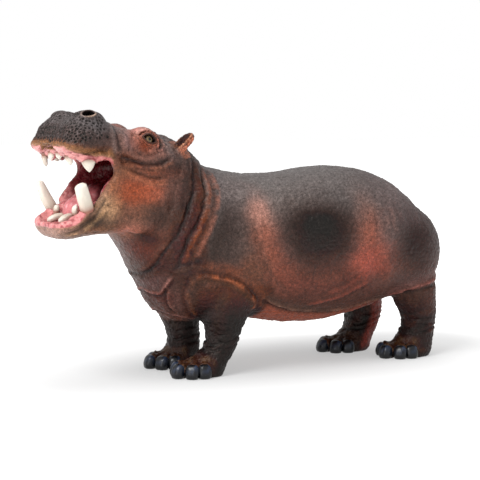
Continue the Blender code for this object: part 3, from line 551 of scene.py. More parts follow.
# Folds: a line along the skin (in the whole figure's frame B or the head's frame H) and, across it, bumps (+) and creases (-):
# (distance to the side, height, width). The side is to the left of the line's direction, seen from outside. The far side is a mirror image.
FOLDS = {
    "throat": ("B", [(-25.6, -12.6, 75.4), (-26.0, -15.4, 69.5), (-26.9, -17.0, 63.6), (-28.7, -17.8, 60.0), (-31.6, -18.1, 52.9), (-34.3, -17.2, 48.2), (-37.5, -14.9, 43.3),
                     (-39.5, -11.1, 38.7), (-40.8, -6.8, 36.5), (-41.4, -0.0, 36.0)], (2.5, 0), [(0, -0.75, 0.8), (1.6, 0.36, 1.0), (-1.9, 0.5, 1.7)]),
    "collar": ("B", [(-21.0, -9.5, 73.6), (-21.6, -12.8, 70.7), (-22.1, -16.2, 65.0), (-23.4, -18.1, 60.1), (-26.1, -18.9, 54.2), (-29.2, -18.7, 48.6), (-30.9, -18.1, 44.6),
                     (-32.3, -16.6, 39.4)], (3, 3), [(0, -0.7, 0.8), (1.8, 0.42, 1.0), (3.7, -0.2, 1.0), (-2.0, 0.4, 1.6)]),
    "cheek": ("B", [(-29.0, -14.5, 76.0), (-32.5, -17.0, 70.1), (-34.0, -17.5, 66.5), (-34.9, -17.3, 60.1), (-36.6, -17.1, 55.6), (-40.2, -15.8, 50.5)], (3, 3.5), [(0, -0.5, 1.5), (-3.0, 0.35, 2.2), (2.6, 0.3, 1.8)]),
    "neck_low": ("B", [(-30.2, -17.9, 62.5), (-31.6, -18.0, 57.5), (-33.4, -17.7, 53.0), (-37.0, -15.8, 47.6)], (3, 3), [(0, -0.2, 0.6), (0.9, 0.12, 0.7)]),
    "chest_c": ("B", [(-38.4, 0, 30.8), (-38.1, -3.3, 30.0), (-36.8, -7.3, 29.4), (-35.8, -9.4, 29.6), (-35.0, -12.9, 33.0), (-33.8, -14.9, 35.8)], (0, 2), [(0, 0.4, 0.6), (-1.2, -0.55, 0.7)]),
    "chest_d": ("B", [(-35.2, -12.0, 31.9), (-34.4, -10.2, 28.0), (-32.8, -9.1, 24.8), (-29.5, -8.9, 21.9)], (1.2, 1.5), [(0, -0.4, 0.6), (1.1, 0.25, 0.7)]),
    "leg_e": ("B", [(-27.0, -18.2, 35.4), (-27.9, -17.4, 33.0), (-28.5, -15.9, 29.6), (-26.4, -13.7, 24.5), (-21.8, -10.6, 19.6)], (2, 2.5), [(0, 0.26, 0.8), (-1.5, -0.42, 0.9)]),
    "chest_f": ("B", [(-34.1, 0, 23.2), (-32.2, -5.5, 22.2), (-30.0, -7.8, 21.6), (-26.3, -9.1, 20.6), (-22.2, -9.1, 19.4)], (0, 2), [(0, 0.3, 0.7), (-1.3, -0.4, 0.8)]),
    "shoulder": ("B", [(-33.6, -15.8, 36.6), (-30.3, -17.6, 38.4), (-26.7, -19.0, 39.3), (-22.0, -19.6, 38.8)], (2, 3), [(0, 0.28, 0.7), (1.4, -0.32, 0.9)]),
    "elbow": ("B", [(-27.2, -18.4, 35.0), (-24.1, -19.1, 35.6), (-19.6, -19.9, 35.2), (-15.1, -20.6, 33.9), (-11.0, -21.1, 31.8), (-7.3, -20.6, 29.0), (-4.2, -18.4, 25.8), (-3.0, -15.1, 22.4)], (2.5, 1.5),
              [(0, 0.42, 0.8), (1.4, -0.45, 0.75), (-1.7, -0.15, 1.2)]),
    "behind_shoulder": ("B", [(-6.4, -20.4, 57.0), (-5.8, -21.1, 52.3), (-4.6, -21.9, 47.5), (-2.2, -22.4, 40.5), (0.5, -22.3, 35.2), (4.6, -22.1, 31.0), (8.8, -21.0, 27.6)], (6, 5),
                        [(0, -0.55, 2.0), (4.2, 0.4, 2.6), (-4.0, 0.25, 3.0)]),
    "flank": ("B", [(-1.5, -18.7, 27.4), (4.3, -18.0, 24.2), (9.9, -17.6, 22.4), (18.1, -17.6, 21.0), (27.3, -17.2, 20.3), (35.2, -17.0, 20.9), (43.7, -17.1, 22.5), (50.4, -15.7, 23.6)], (4, 3),
              [(0, 0.5, 0.6), (-1.35, -0.85, 0.8), (1.6, -0.12, 1.0)]),
    "flank_k1": ("B", [(16.0, -20.0, 23.6), (20.6, -20.6, 24.0), (27.9, -21.9, 25.7), (33.9, -23.2, 28.5), (40.4, -24.1, 31.6)], (4, 4), [(0, 0.3, 0.8), (-1.5, -0.35, 0.9)]),
    "flank_k2": ("B", [(22.6, -22.5, 27.1), (30.8, -23.7, 29.8), (36.4, -24.8, 33.6)], (3, 3), [(0, 0.2, 0.9), (1.5, -0.25, 0.9)]),
    "thigh": ("B", [(43.5, -24.6, 52.0), (42.0, -25.0, 44.0), (42.6, -24.4, 36.0), (45.5, -22.6, 29.0)], (6, 5), [(0, -0.55, 2.6), (4.8, 0.35, 3.2)]),
    "rump": ("B", [(51.4, -14.6, 23.6), (54.8, -16.4, 24.3), (60.2, -19.6, 26.5), (66.6, -21.0, 28.1), (71.6, -19.2, 29.4), (75.6, -14.0, 32.0)], (2.5, 2.5), [(0, 0.5, 0.8), (-1.7, -0.65, 0.9)]),
    "stifle": ("B", [(50.6, -15.4, 24.2), (53.6, -14.6, 23.0), (56.8, -13.0, 21.6)], (1.5, 2), [(0, -0.3, 0.6)]),
    "wrinkle_a": ("B", [(44.0, -24.6, 57.0), (45.6, -24.8, 53.4), (45.2, -25.0, 49.6)], (2, 2), [(0, -0.12, 0.8), (1.3, 0.12, 0.9)]),
    "wrinkle_b": ("B", [(47.0, -24.0, 58.4), (48.6, -24.3, 54.6), (48.0, -24.6, 50.6), (49.6, -24.6, 47.2)], (2, 2), [(0, -0.13, 0.8), (1.3, 0.12, 0.9)]),
    "wrinkle_c": ("B", [(50.8, -23.2, 58.8), (51.8, -23.7, 54.4), (53.4, -24.0, 50.6)], (2, 2), [(0, -0.11, 0.8), (1.3, 0.10, 0.9)]),
    "wrinkle_d": ("B", [(41.0, -24.9, 55.0), (42.2, -25.0, 51.4), (41.4, -25.2, 47.6)], (2, 2), [(0, -0.10, 0.8), (1.3, 0.10, 0.9)]),
    "under_eye1": ("H", [(-54.6, -11.4, 77.0), (-53.0, -11.9, 75.9), (-49.5, -12.9, 74.8), (-45.4, -13.9, 73.9), (-40.0, -14.4, 74.5), (-36.4, -14.6, 76.2)], (2, 2.5), [(0, -0.5, 0.75), (1.8, 0.28, 1.0), (-1.6, 0.28, 0.8)]),
    "under_eye2": ("H", [(-53.2, -12.8, 72.9), (-48.5, -14.3, 70.8), (-44.3, -15.1, 69.5), (-38.8, -15.4, 69.7)], (2, 3), [(0, -0.45, 0.75), (-1.7, 0.28, 1.2)]),
    "under_eye3": ("H", [(-50.6, -13.6, 73.0), (-47.0, -14.4, 72.2), (-42.6, -14.8, 71.8)], (1.6, 1.6), [(0, -0.25, 0.5)]),
    "snout": ("H", [(-55.8, -8.0, 86.2), (-56.8, -11.4, 85.0), (-57.2, -13.4, 83.2), (-56.8, -13.8, 80.9), (-55.5, -12.8, 77.9)], (2, 2), [(0, -0.45, 0.9), (-1.8, 0.22, 1.1)]),
    "bridge": ("H", [(-55.4, -9.0, 83.6), (-53.4, -10.8, 81.8), (-52.4, -11.8, 79.2), (-52.8, -12.2, 77.0)], (2, 2), [(0, -0.3, 0.7), (1.2, 0.2, 0.8)]),
    "eye_back": ("H", [(-41.2, -8.8, 85.2), (-39.6, -10.3, 83.4), (-39.0, -12.0, 80.7), (-40.8, -13.4, 78.2)], (1.5, 1.5), [(0, -0.45, 0.55), (1.3, 0.2, 0.8)]),
    "eye_front": ("H", [(-48.6, -10.0, 84.6), (-50.4, -11.9, 82.9), (-51.4, -13.2, 80.9), (-50.1, -13.4, 78.6), (-47.2, -13.5, 77.3), (-44.1, -13.7, 76.9), (-40.9, -13.5, 78.1)], (1.5, 1.0), [(0, -0.24, 0.7), (-1.1, 0.16, 0.8)]),
    "chin": ("H", [(-66.4, -11.6, 52.3), (-61.6, -10.7, 51.4), (-57.6, -12.4, 53.4)], (1.5, 2), [(0, -0.35, 0.7), (1.2, 0.22, 0.9)]),
    "jaw_a": ("H", [(-61.4, -13.4, 64.0), (-63.6, -13.2, 59.6), (-67.4, -13.4, 56.2), (-71.6, -12.6, 53.2), (-75.2, -9.4, 51.6)], (1.5, 2), [(0, -0.28, 0.5), (1.0, 0.14, 0.6)]),
    "jaw_b": ("H", [(-60.2, -13.8, 60.0), (-62.6, -13.4, 56.8), (-66.0, -13.0, 54.0)], (1.5, 2), [(0, -0.2, 0.5)]),
    "ear_foot": ("H", [(-35.2, -11.6, 80.4), (-34.6, -13.4, 78.0), (-33.6, -14.9, 75.0)], (1, 2), [(0, -0.35, 0.7)]),
    "lid_fold": ("H", [(-47.7, -11.0, 83.2), (-46.6, -11.0, 84.1), (-45.1, -10.9, 84.7), (-43.4, -10.9, 84.7), (-41.6, -11.0, 83.9)], (1, 1), [(0, -0.3, 0.35), (0.8, 0.2, 0.5)]),
    "lip_up": ("H", [(-75.4, 0, 80.4), (-75.8, -3.8, 80.5), (-75.6, -9.3, 79.9), (-74.0, -11.9, 78.8), (-70.3, -13.0, 77.7), (-65.5, -13.8, 77.0), (-61.8, -13.5, 76.8), (-58.9, -13.3, 76.6)], (0, 1.5), [(0, -0.18, 0.5), (-0.9, 0.22, 0.6)]),
}
CREASES = {    # at the joints of the feet: foot, height, depth
    "front_left": ((12.6, 0.3), (9.4, 0.42), (7.2, 0.3)), "front_right": ((12.6, 0.3), (9.4, 0.36), (7.0, 0.3)),
    "hind_left": ((12.4, 0.3), (9.4, 0.42), (7.4, 0.34)), "hind_right": ((11.6, 0.3), (8.8, 0.36), (7.0, 0.3))}


class Stroke:
    """Where each nearby point of the skin lies along and across a line on it."""

    def __init__(self, P, N, line, ends, reach=6.5):
        L = through([p + (0.0,) for p in line], 90)[:, :3]
        lo, hi = L.min(0) - reach, L.max(0) + reach
        idx = np.nonzero(((P > lo) & (P < hi)).all(1))[0]
        T = np.gradient(L, axis=0)
        step = np.linalg.norm(T, axis=1).mean()
        T /= np.linalg.norm(T, axis=1, keepdims=True)
        p = P[idx]
        best = np.full(len(idx), 1e9)
        k = np.zeros(len(idx), int)
        for i, q in enumerate(L):
            d = ((p - q) ** 2).sum(1)
            m = d < best
            best[m] = d[m]
            k[m] = i
        keep = best < reach ** 2
        idx, p, k = idx[keep], p[keep], k[keep]
        d = p - L[k]
        along = (d * T[k]).sum(1)
        n = N[idx]
        side = np.cross(T[k], n)
        side /= np.linalg.norm(side, axis=1, keepdims=True).clip(1e-6)
        facing = ramp((n * np.array(side_normal(L, P, N))[k]).sum(1), 0.0, 0.5)
        s = (d * -side).sum(1)
        u = k * step + along
        total = step * (len(L) - 1)
        a, b = ends
        t = np.ones(len(u))
        if a:
            t *= ramp(u, -0.2 * a, a)
        if b:
            t *= ramp(total - u, -0.2 * b, b)
        self.idx, self.s, self.t = idx, s, t * facing * ramp(reach - np.sqrt(best[keep]), 0, 1.5)


def side_normal(L, P, N):
    """The skin's normal nearest to each of the line's points."""
    return side_normal.tree_normals(L)


def stroke_on(form, name, kind, line, ends):
    P, N = (form.P, form.N) if kind == "B" else (form.H, form.HN)
    M = P.copy()
    M[:, 1] = -np.abs(M[:, 1])
    far = P[:, 1] > 0
    MN = N.copy()
    MN[far, 1] *= -1
    tree = form.tree_b if kind == "B" else form.tree_h

    def tree_normals(L):
        out = []
        for q in L:
            _, i, _ = tree.find(Vector(q))
            out.append(MN[form.tree_ids[i]])
        return out
    side_normal.tree_normals = tree_normals
    return Stroke(M, MN, line, ends)


def prepare(form):
    """Points and normals in both frames, and search trees of the near side."""
    form.H = unturned(form.P)
    form.HN = form.N @ UNTURN_NP[:3, :3].T
    ids = np.nonzero(form.P[:, 1] < 1.5)[0][::3]
    form.tree_ids = ids
    for name, A in (("tree_b", form.P), ("tree_h", form.H)):
        t = KDTree(len(ids))
        for j, i in enumerate(ids):
            t.insert(A[i], j)
        t.balance()
        setattr(form, name, t)


prepare(form)
STROKES = {name: stroke_on(form, name, kind, line, ends) for name, (kind, line, ends, _) in FOLDS.items()}
push = np.zeros(form.n)
for name, (_, _, _, profile) in FOLDS.items():
    st = STROKES[name]
    uneven = 0.8 + 0.45 * noise(form.P[st.idx], 4.2, 17)
    drift = 0.35 * noise(form.P[st.idx], 3.1, 18)
    for off, height, width in profile:
        push[st.idx] += height * bell(st.s - off + drift, width) * st.t * uneven
form.P += form.N * push[:, None]

form.normals()
prepare(form)

# the near front of the lower lip lies lower than the far one
form.H = unturned(form.P)
w = 1.35 * blob(form.H, (-75.0, -6.2, 57.4), (4.5, 5.5, 3.0)) * ramp(form.H[:, 2], 54.3, 56.4) * (form.H[:, 2] < 62)
form.P[:, 2] -= w
prepare(form)

# ------------------------------------------------------------------ eyes and nostrils


def unit(v):
    v = np.asarray(v, float)
    return v / np.linalg.norm(v)


class Opening:
    """A shaped opening on one side of the head: its own frame (across a, up b, out c), and each nearby point's distance to its edge."""

    def __init__(self, form, centre, along, outline, s, reach=7.0, lean=None):
        flipped = np.array((1.0, s, 1.0))
        c = np.array(centre, float) * flipped
        d = form.H - c
        near = (d * d).sum(1) < 1.6 ** 2
        n = unit(form.HN[near].mean(0))
        if lean is not None:
            n = unit(n + np.array(lean) * flipped)
        a = np.array(along, float) * flipped
        a = unit(a - n * (a @ n))
        b = np.cross(n, a)
        if b[2] < 0:
            b = -b
        lateral = d - np.outer(d @ n, n)
        mid = ((lateral ** 2).sum(1) < 0.5 ** 2) & (np.abs(d @ n) < 4)
        self.O = c + n * (d[mid] @ n).mean()
        self.n, self.a, self.b = n, a, b
        d = form.H - self.O
        self.idx = np.nonzero(((d * d).sum(1) < reach ** 2) & (form.HN @ n > -0.1))[0]
        d = d[self.idx]
        self.x, self.y, self.z = d @ a, d @ b, d @ n
        curve = np.array(outline)
        best = np.full(len(self.idx), 1e9)
        inside = np.zeros(len(self.idx), bool)
        for p, q in zip(curve, np.roll(curve, -1, 0)):
            e = q - p
            t = np.clip(((self.x - p[0]) * e[0] + (self.y - p[1]) * e[1]) / max(e @ e, 1e-12), 0, 1)
            best = np.minimum(best, np.hypot(self.x - p[0] - t * e[0], self.y - p[1] - t * e[1]))
            if p[1] != q[1]:
                inside ^= ((p[1] > self.y) != (q[1] > self.y)) & (self.x < (q[0] - p[0]) * (self.y - p[1]) / (q[1] - p[1]) + p[0])
        self.d = np.where(inside, -best, best)

    def push(self, form, amount):
        form.H[self.idx] += self.n * amount[:, None]
        form.P[self.idx] += (TURN_NP[:3, :3] @ self.n) * amount[:, None]


def almond(a, up, down, n=48, power=0.8):
    x = np.linspace(-a, a, n)
    e = np.clip(1 - (x / a) ** 2, 0, 1) ** power
    return np.concatenate([np.stack([x, up * e], 1), np.stack([x[::-1], -down * e[::-1]], 1)[1:-1]])


def ellipse(a, b, n=60):
    t = np.linspace(0, 2 * math.pi, n, endpoint=False)
    return np.stack([a * np.cos(t), b * np.sin(t)], 1)


EYE_R = 2.15
LIDS, NOSTRILS = [], []
for s in (1, -1):
    centre = (-43.75, -12.1, 82.1) if s == 1 else (-44.5, -12.1, 83.1)
    o = Opening(form, centre, (4.6, -0.4, -1.9), almond(2.3, 1.4, 1.15), s)
    up, low = ramp(o.y, -0.4, 0.8), ramp(-o.y, -0.4, 0.8)
    fade = ramp(7.0 - np.hypot(o.x, o.y), 0, 3)
    amount = -1.5 * ramp(-o.d, -0.02, 0.30)
    out = np.clip(o.d, 0, None)
    amount += np.where(o.d > -0.1, 1, 0) * (0.32 * bell(out - 0.22, 0.26) + up * (0.26 * bell(out - 0.45, 0.4) - 0.26 * bell(out - 1.15, 0.28) + 0.16 * bell(out - 1.9, 0.5))
                                            + low * (-0.13 * bell(out - 1.15, 0.3) + 0.08 * bell(out - 1.8, 0.5))) * fade
    amount += 0.10 * noise(form.H[o.idx], 0.9, 33) * ramp(out, 0.6, 1.4) * fade
    o.push(form, amount)
    LIDS.append(o)
    o = Opening(form, (-65.8, -9.9, 90.2), (1.0, 0.0, 0.10), ellipse(2.25, 1.25), s, lean=(-0.05, -0.5, 0.0))
    out = np.clip(o.d, 0, None)
    amount = -2.6 * ramp(-o.d, -0.05, 0.75) + np.where(o.d > -0.1, 1, 0) * (0.26 * bell(out - 0.3, 0.4) - 0.16 * bell(out - 1.5, 0.6))
    o.push(form, amount)
    NOSTRILS.append(o)

# ------------------------------------------------------------------ mouth: where the lining is
SIDE = np.array([(-84, 80.4), (-75.9, 80.4), (-74.2, 78.9), (-70.3, 77.8), (-65.5, 77.0), (-61.8, 76.8), (-59.3, 76.4), (-58.1, 74.8), (-58.1, 72.8), (-59.8, 69.7),
                 (-62.8, 65.9), (-65.1, 62.6), (-66.0, 60.4), (-67.6, 58.6), (-70.9, 55.6), (-73.7, 54.1), (-76.3, 53.7), (-84, 53.6)])


def polygon(x, z, curve):
    """Signed distance to a closed line, negative inside."""
    best, inside = np.full(len(x), 1e9), np.zeros(len(x), bool)
    for p, q in zip(curve, np.roll(curve, -1, 0)):
        e = q - p
        t = np.clip(((x - p[0]) * e[0] + (z - p[1]) * e[1]) / (e @ e), 0, 1)
        best = np.minimum(best, np.hypot(x - p[0] - t * e[0], z - p[1] - t * e[1]))
        inside ^= ((p[1] > z) != (q[1] > z)) & (x < (q[0] - p[0]) * (z - p[1]) / (q[1] - p[1] + 1e-12) + p[0])
    return np.where(inside, -best, best)


form.normals()
prepare(form)
H, HN = form.H, form.HN
ay = np.abs(H[:, 1])
lining = ramp(-polygon(H[:, 0], H[:, 2], SIDE) + 0.25 * noise(H, 1.6, 3), -0.15, 0.35)
lining = np.maximum(lining, ((ay < np.interp(H[:, 0], (-60, -54.5, -50.5, -47.5, -45), (12.2, 11.0, 9.3, 6.4, 4.0))) & (H[:, 0] > -62) & (H[:, 0] < -45)
                             & (H[:, 2] > 58) & (H[:, 2] < np.where(H[:, 0] > -56, 77.5, 80))).astype(float))
lining = np.maximum(lining, ((H[:, 1] > 4) & (HN[:, 1] < -0.05) & (H[:, 0] > -70.5) & (H[:, 0] < -55) & (H[:, 2] > 57) & (H[:, 2] < 73)).astype(float))
lining = np.maximum(lining, (HN[:, 2] < -0.25) * ramp(10.8 - ay, -0.3, 0.5) * ramp(H[:, 0] + 73.8, -0.3, 0.5) * (H[:, 2] > 74) * (H[:, 2] < 81) * (H[:, 0] < -50))
lining = np.maximum(lining, (HN[:, 2] > 0.25) * ramp(11.0 - ay, -0.3, 0.5) * ramp(H[:, 0] + 75.6, -0.3, 0.5) * (H[:, 0] < -57) * (H[:, 2] < 64) * (H[:, 2] > 54))
upper_gum = lining * (H[:, 2] > 73.5) * (H[:, 0] < -57)
lower_gum = lining * (H[:, 2] < 62) * (H[:, 0] < -60)
f1, f2 = cells(H[lining > 0.01], 2.4, 5)
soft = np.zeros(form.n)
soft[lining > 0.01] = 0.34 * (0.55 - f1) + 0.13 * noise(H[lining > 0.01], 0.9, 8)
ridges = bell(((H[:, 0] + 0.10 * ay ** 1.3) % 2.6) - 1.3, 0.55) * (HN[:, 2] < -0.5) * (H[:, 2] > 76) * ramp(9.5 - ay, 0, 2)
form.P += form.N * ((soft + 0.22 * ridges) * lining)[:, None]

# ------------------------------------------------------------------ muzzle pits
rng = np.random.default_rng(11)
inside_muzzle = np.nonzero((H[:, 0] < -57.5) & (lining < 0.02) & (H[:, 2] > 78.6))[0]
near_nostril = np.minimum.reduce([((H[inside_muzzle] - o.O) ** 2).sum(1) for o in NOSTRILS])
density = (0.10 * ramp(-H[inside_muzzle, 0], 60.5, 64.0) + 0.90 * ramp(-H[inside_muzzle, 0], 66.0, 70.5)) * ramp(H[inside_muzzle, 2], 81.4, 83.6) * (near_nostril > 3.0 ** 2) * (0.75 + 0.25 * ramp(noise(H[inside_muzzle], 5.0, 21), -0.5, 0.4))
order = rng.permutation(len(inside_muzzle))
order = order[rng.random(len(order)) < density[order]]
taken, grid = [], {}
for i in inside_muzzle[order]:
    p = H[i]
    gap = 0.92 + 0.60 * rng.random() ** 1.4
    key = tuple(np.floor(p / 1.5).astype(int))
    if all(((H[j] - p) ** 2).sum() > gap ** 2 for dx in (-1, 0, 1) for dy in (-1, 0, 1) for dz in (-1, 0, 1) for j in grid.get((key[0] + dx, key[1] + dy, key[2] + dz), ())):
        grid.setdefault(key, []).append(i)
        taken.append(i)
tree = KDTree(len(inside_muzzle))
for j, i in enumerate(inside_muzzle):
    tree.insert(H[i], j)
tree.balance()
pits = np.zeros(form.n)
for i in taken:
    r = 0.27 + 0.20 * rng.random() ** 1.3
    drop = unit(np.cross(HN[i], (0.3, 1.0, 0.2)))
    for _, j, _ in tree.find_range(H[i], 3.2 * r):
        k = inside_muzzle[j]
        d = H[k] - H[i]
        along = d @ drop
        q = (d @ d - along * along) + (along / 1.18) ** 2
        pits[k] = max(pits[k], math.exp(-q / (r * r)))
form.P -= form.N * (0.42 * pits)[:, None]
print("pits", len(taken))

# ------------------------------------------------------------------ feet: toes, nail beds, creases
NAIL = (2.2, 2.5, 2.75)
nail_frames = []
push = np.zeros(form.n)
for name in LEGS:
    xc, yc, reach, hw, angles = FEET[name]
    foot = np.nonzero((form.P[:, 2] < 15) & (np.abs(form.P[:, 0] - xc - 3) < 15) & (form.P[:, 1] * yc > 0))[0]
    p = form.P[foot]
    th = np.arctan2(-(p[:, 1] - yc), -(p[:, 0] - xc))
    R = np.hypot(p[:, 0] - xc, p[:, 1] - yc)
    for a, b in zip(angles[:-1], angles[1:]):
        m = math.radians((a + b) / 2)
        push[foot] -= 0.55 * bell((th - m) * R, 0.6) * ramp(7.6 - p[:, 2], 0, 3.5) * ramp(R, 2, 5)
    wave = p[:, 2] + 0.7 * noise(p, 4.0, 31) - 0.22 * (p[:, 0] - xc)
    for h, depth in CREASES[name]:
        push[foot] += (-depth * bell(wave - h - 1.2, 0.42) + 0.4 * depth * bell(wave - h - 0.2, 0.6)) * ramp(0.2 + noise(p, 5.0, 40 + int(h)), -0.6, 0.3)
    for (x, y), (ux, uy) in toes(name):
        M = Matrix.Translation((x - ux * 0.75, y - uy * 0.75, 2.25)) @ Matrix.Rotation(math.atan2(uy, ux), 4, 'Z') @ Matrix.Rotation(math.radians(-20), 4, 'Y')
        nail_frames.append((name, M))
        A = np.array(M.inverted())
        q = (p @ A[:3, :3].T + A[:3, 3]) / np.array(NAIL)
        f = np.linalg.norm(q, axis=1) - 1
        push[foot] += 0.34 * bell(f - 0.14, 0.13) * ramp(p[:, 2], 1.4, 3.2)
form.P += form.N * push[:, None]

# ------------------------------------------------------------------ hide: pebbles, fine wrinkles
form.normals()
form.H = unturned(form.P)
H = form.H
bare = np.clip(1 - lining, 0, 1)
for o in LIDS:
    bare[o.idx] *= ramp(o.d, 0.5, 2.0) * 0.8 + 0.2 * ramp(o.d, 0.0, 0.3)
for o in NOSTRILS:
    bare[o.idx] *= ramp(o.d, 0.2, 1.0)
head_part = ramp(-form.P[:, 0], 36, 50)
P = form.P
f1, f2 = cells(P * np.array((1, 1, 0.86)), 1.25, 2)
g1, g2 = cells(P, 0.8, 4)
on_muzzle = ramp(-H[:, 0], 56, 60) * ramp(H[:, 2], 76, 79)
pebble = (1 - head_part) * (0.15 * ramp(f2 - f1, 0.0, 0.42) - 0.10) + head_part * (1 - 0.85 * on_muzzle) * (0.07 * ramp(g2 - g1, 0.0, 0.4) - 0.045)
back_w = ramp(P[:, 2], 40, 56) * (1 - head_part)
wr = noise(P * np.array((1.0, 1.0, 0.38)), 1.5, 6) * ramp(noise(P, 11, 9), -0.2, 0.5) * ramp(np.abs(P[:, 0] - 45), 16, 4)
legs = ramp(26 - P[:, 2], 0, 6)
lw = noise(P * np.array((0.42, 0.42, 1.0)), 1.05, 12)
crown = blob(H, (-38, -9, 80), (6.5, 8, 5)) + blob(H, (-38, 9, 80), (6.5, 8, 5)) + blob(P, (-24, -14, 60), (7, 12, 12)) * 0.6
lumps = noise(P * np.array((1.0, 1.0, 0.55)), 2.6, 19)
rough_hip = blob(P, (46, -24, 53), (8, 12, 9)) + blob(P, (46, 24, 53), (8, 12, 9)) + 0.7 * blob(P, (-14, -20, 48), (9, 12, 14)) + 0.7 * blob(P, (-14, 20, 48), (9, 12, 14))
back_top = ramp(P[:, 2], 46, 62) * (1 - head_part)
hide = (pebble + 0.085 * noise(P, 0.95, 13) * (1 - 0.3 * head_part) + 0.13 * noise(P, 2.3, 14) * (1 - 0.5 * head_part) + 0.17 * noise(P, 5.5, 15) * (1 - 0.4 * head_part) + 0.16 * wr + legs * 0.15 * lw
        + 0.16 * crown * noise(H * np.array((1, 1, 0.5)), 1.3, 16) + (0.10 * back_top + 0.30 * np.clip(rough_hip, 0, 1)) * lumps + on_muzzle * (0.10 * noise(H, 1.15, 20) + 0.12 * noise(H, 2.8, 22)))
form.P += form.N * (hide * bare * ramp(P[:, 2], 0.1, 1.6))[:, None]
form.P[:, 2] = np.maximum(form.P[:, 2], 0.02)
form.back()

# ------------------------------------------------------------------ how hollow or raised each point is, for the paint: painted shade in hollows and painted highlights on raised points
form.normals()
length = np.linalg.norm(form.P[form.E[:, 0]] - form.P[form.E[:, 1]], axis=1)
edge = (np.bincount(form.E[:, 0], length, minlength=form.n) + np.bincount(form.E[:, 1], length, minlength=form.n)) / form.deg


def hollow(steps, spread):
    Q = form.P
    for _ in range(steps):
        Q = form.mean(Q)
    k = ((Q - form.P) * form.N).sum(1) / (edge ** 2 * steps).clip(1e-4)
    for _ in range(spread):
        k = form.mean(k)[:, 0]
    return np.clip(k, -3, 3)


fine_hollow, broad_hollow = hollow(1, 1), hollow(12, 4)
print("sculpted")

# ------------------------------------------------------------------ separate pieces


def to_row(P):
    """From millimetres in the working frame to the row frame in metres."""
    return (np.atleast_2d(P) - np.array((ORIGIN[0], ORIGIN[1], 0.0))) * 0.001


def rings_mesh(name, rings, colours=None):
    """A closed mesh from rings of points, each end closed at its middle."""
    k, n = len(rings), len(rings[0])
    P = np.concatenate([np.concatenate(rings), [np.mean(rings[0], 0)], [np.mean(rings[-1], 0)]])
    faces = [(a * n + i, a * n + (i + 1) % n, (a + 1) * n + (i + 1) % n, (a + 1) * n + i) for a in range(k - 1) for i in range(n)]
    faces += [(k * n, (i + 1) % n, i) for i in range(n)] + [(k * n + 1, (k - 1) * n + i, (k - 1) * n + (i + 1) % n) for i in range(n)]
    me = bpy.data.meshes.new(name)
    me.from_pydata(to_row(P).tolist(), [], faces)
    bm = bmesh.new()
    bm.from_mesh(me)
    bmesh.ops.recalc_face_normals(bm, faces=bm.faces)
    bm.to_mesh(me)
    bm.free()
    if colours is not None:
        C = np.concatenate([np.concatenate(colours), [np.mean(colours[0], 0)], [np.mean(colours[-1], 0)]])
        coat_paint(me, C)
    ob = bpy.data.objects.new(name, me)
    SC.collection.objects.link(ob)
    me.shade_smooth()
    return ob


def coat_paint(me, C, name="paint"):
    A = me.attributes.new(name, 'FLOAT_COLOR', 'POINT')
    A.data.foreach_set("color", np.concatenate([C, np.ones((len(C), 1))], 1).astype(np.float32).ravel())


def linear(*rgb):
    c = np.array(rgb, float) / 255
    return np.where(c <= 0.04045, c / 12.92, ((c + 0.055) / 1.055) ** 2.4)


def bezier(points, t):
    """A smooth line through the points at t from 0 to 1."""
    rows = through([tuple(p) + (0.0,) for p in points], len(t))
    return rows[:, :3]


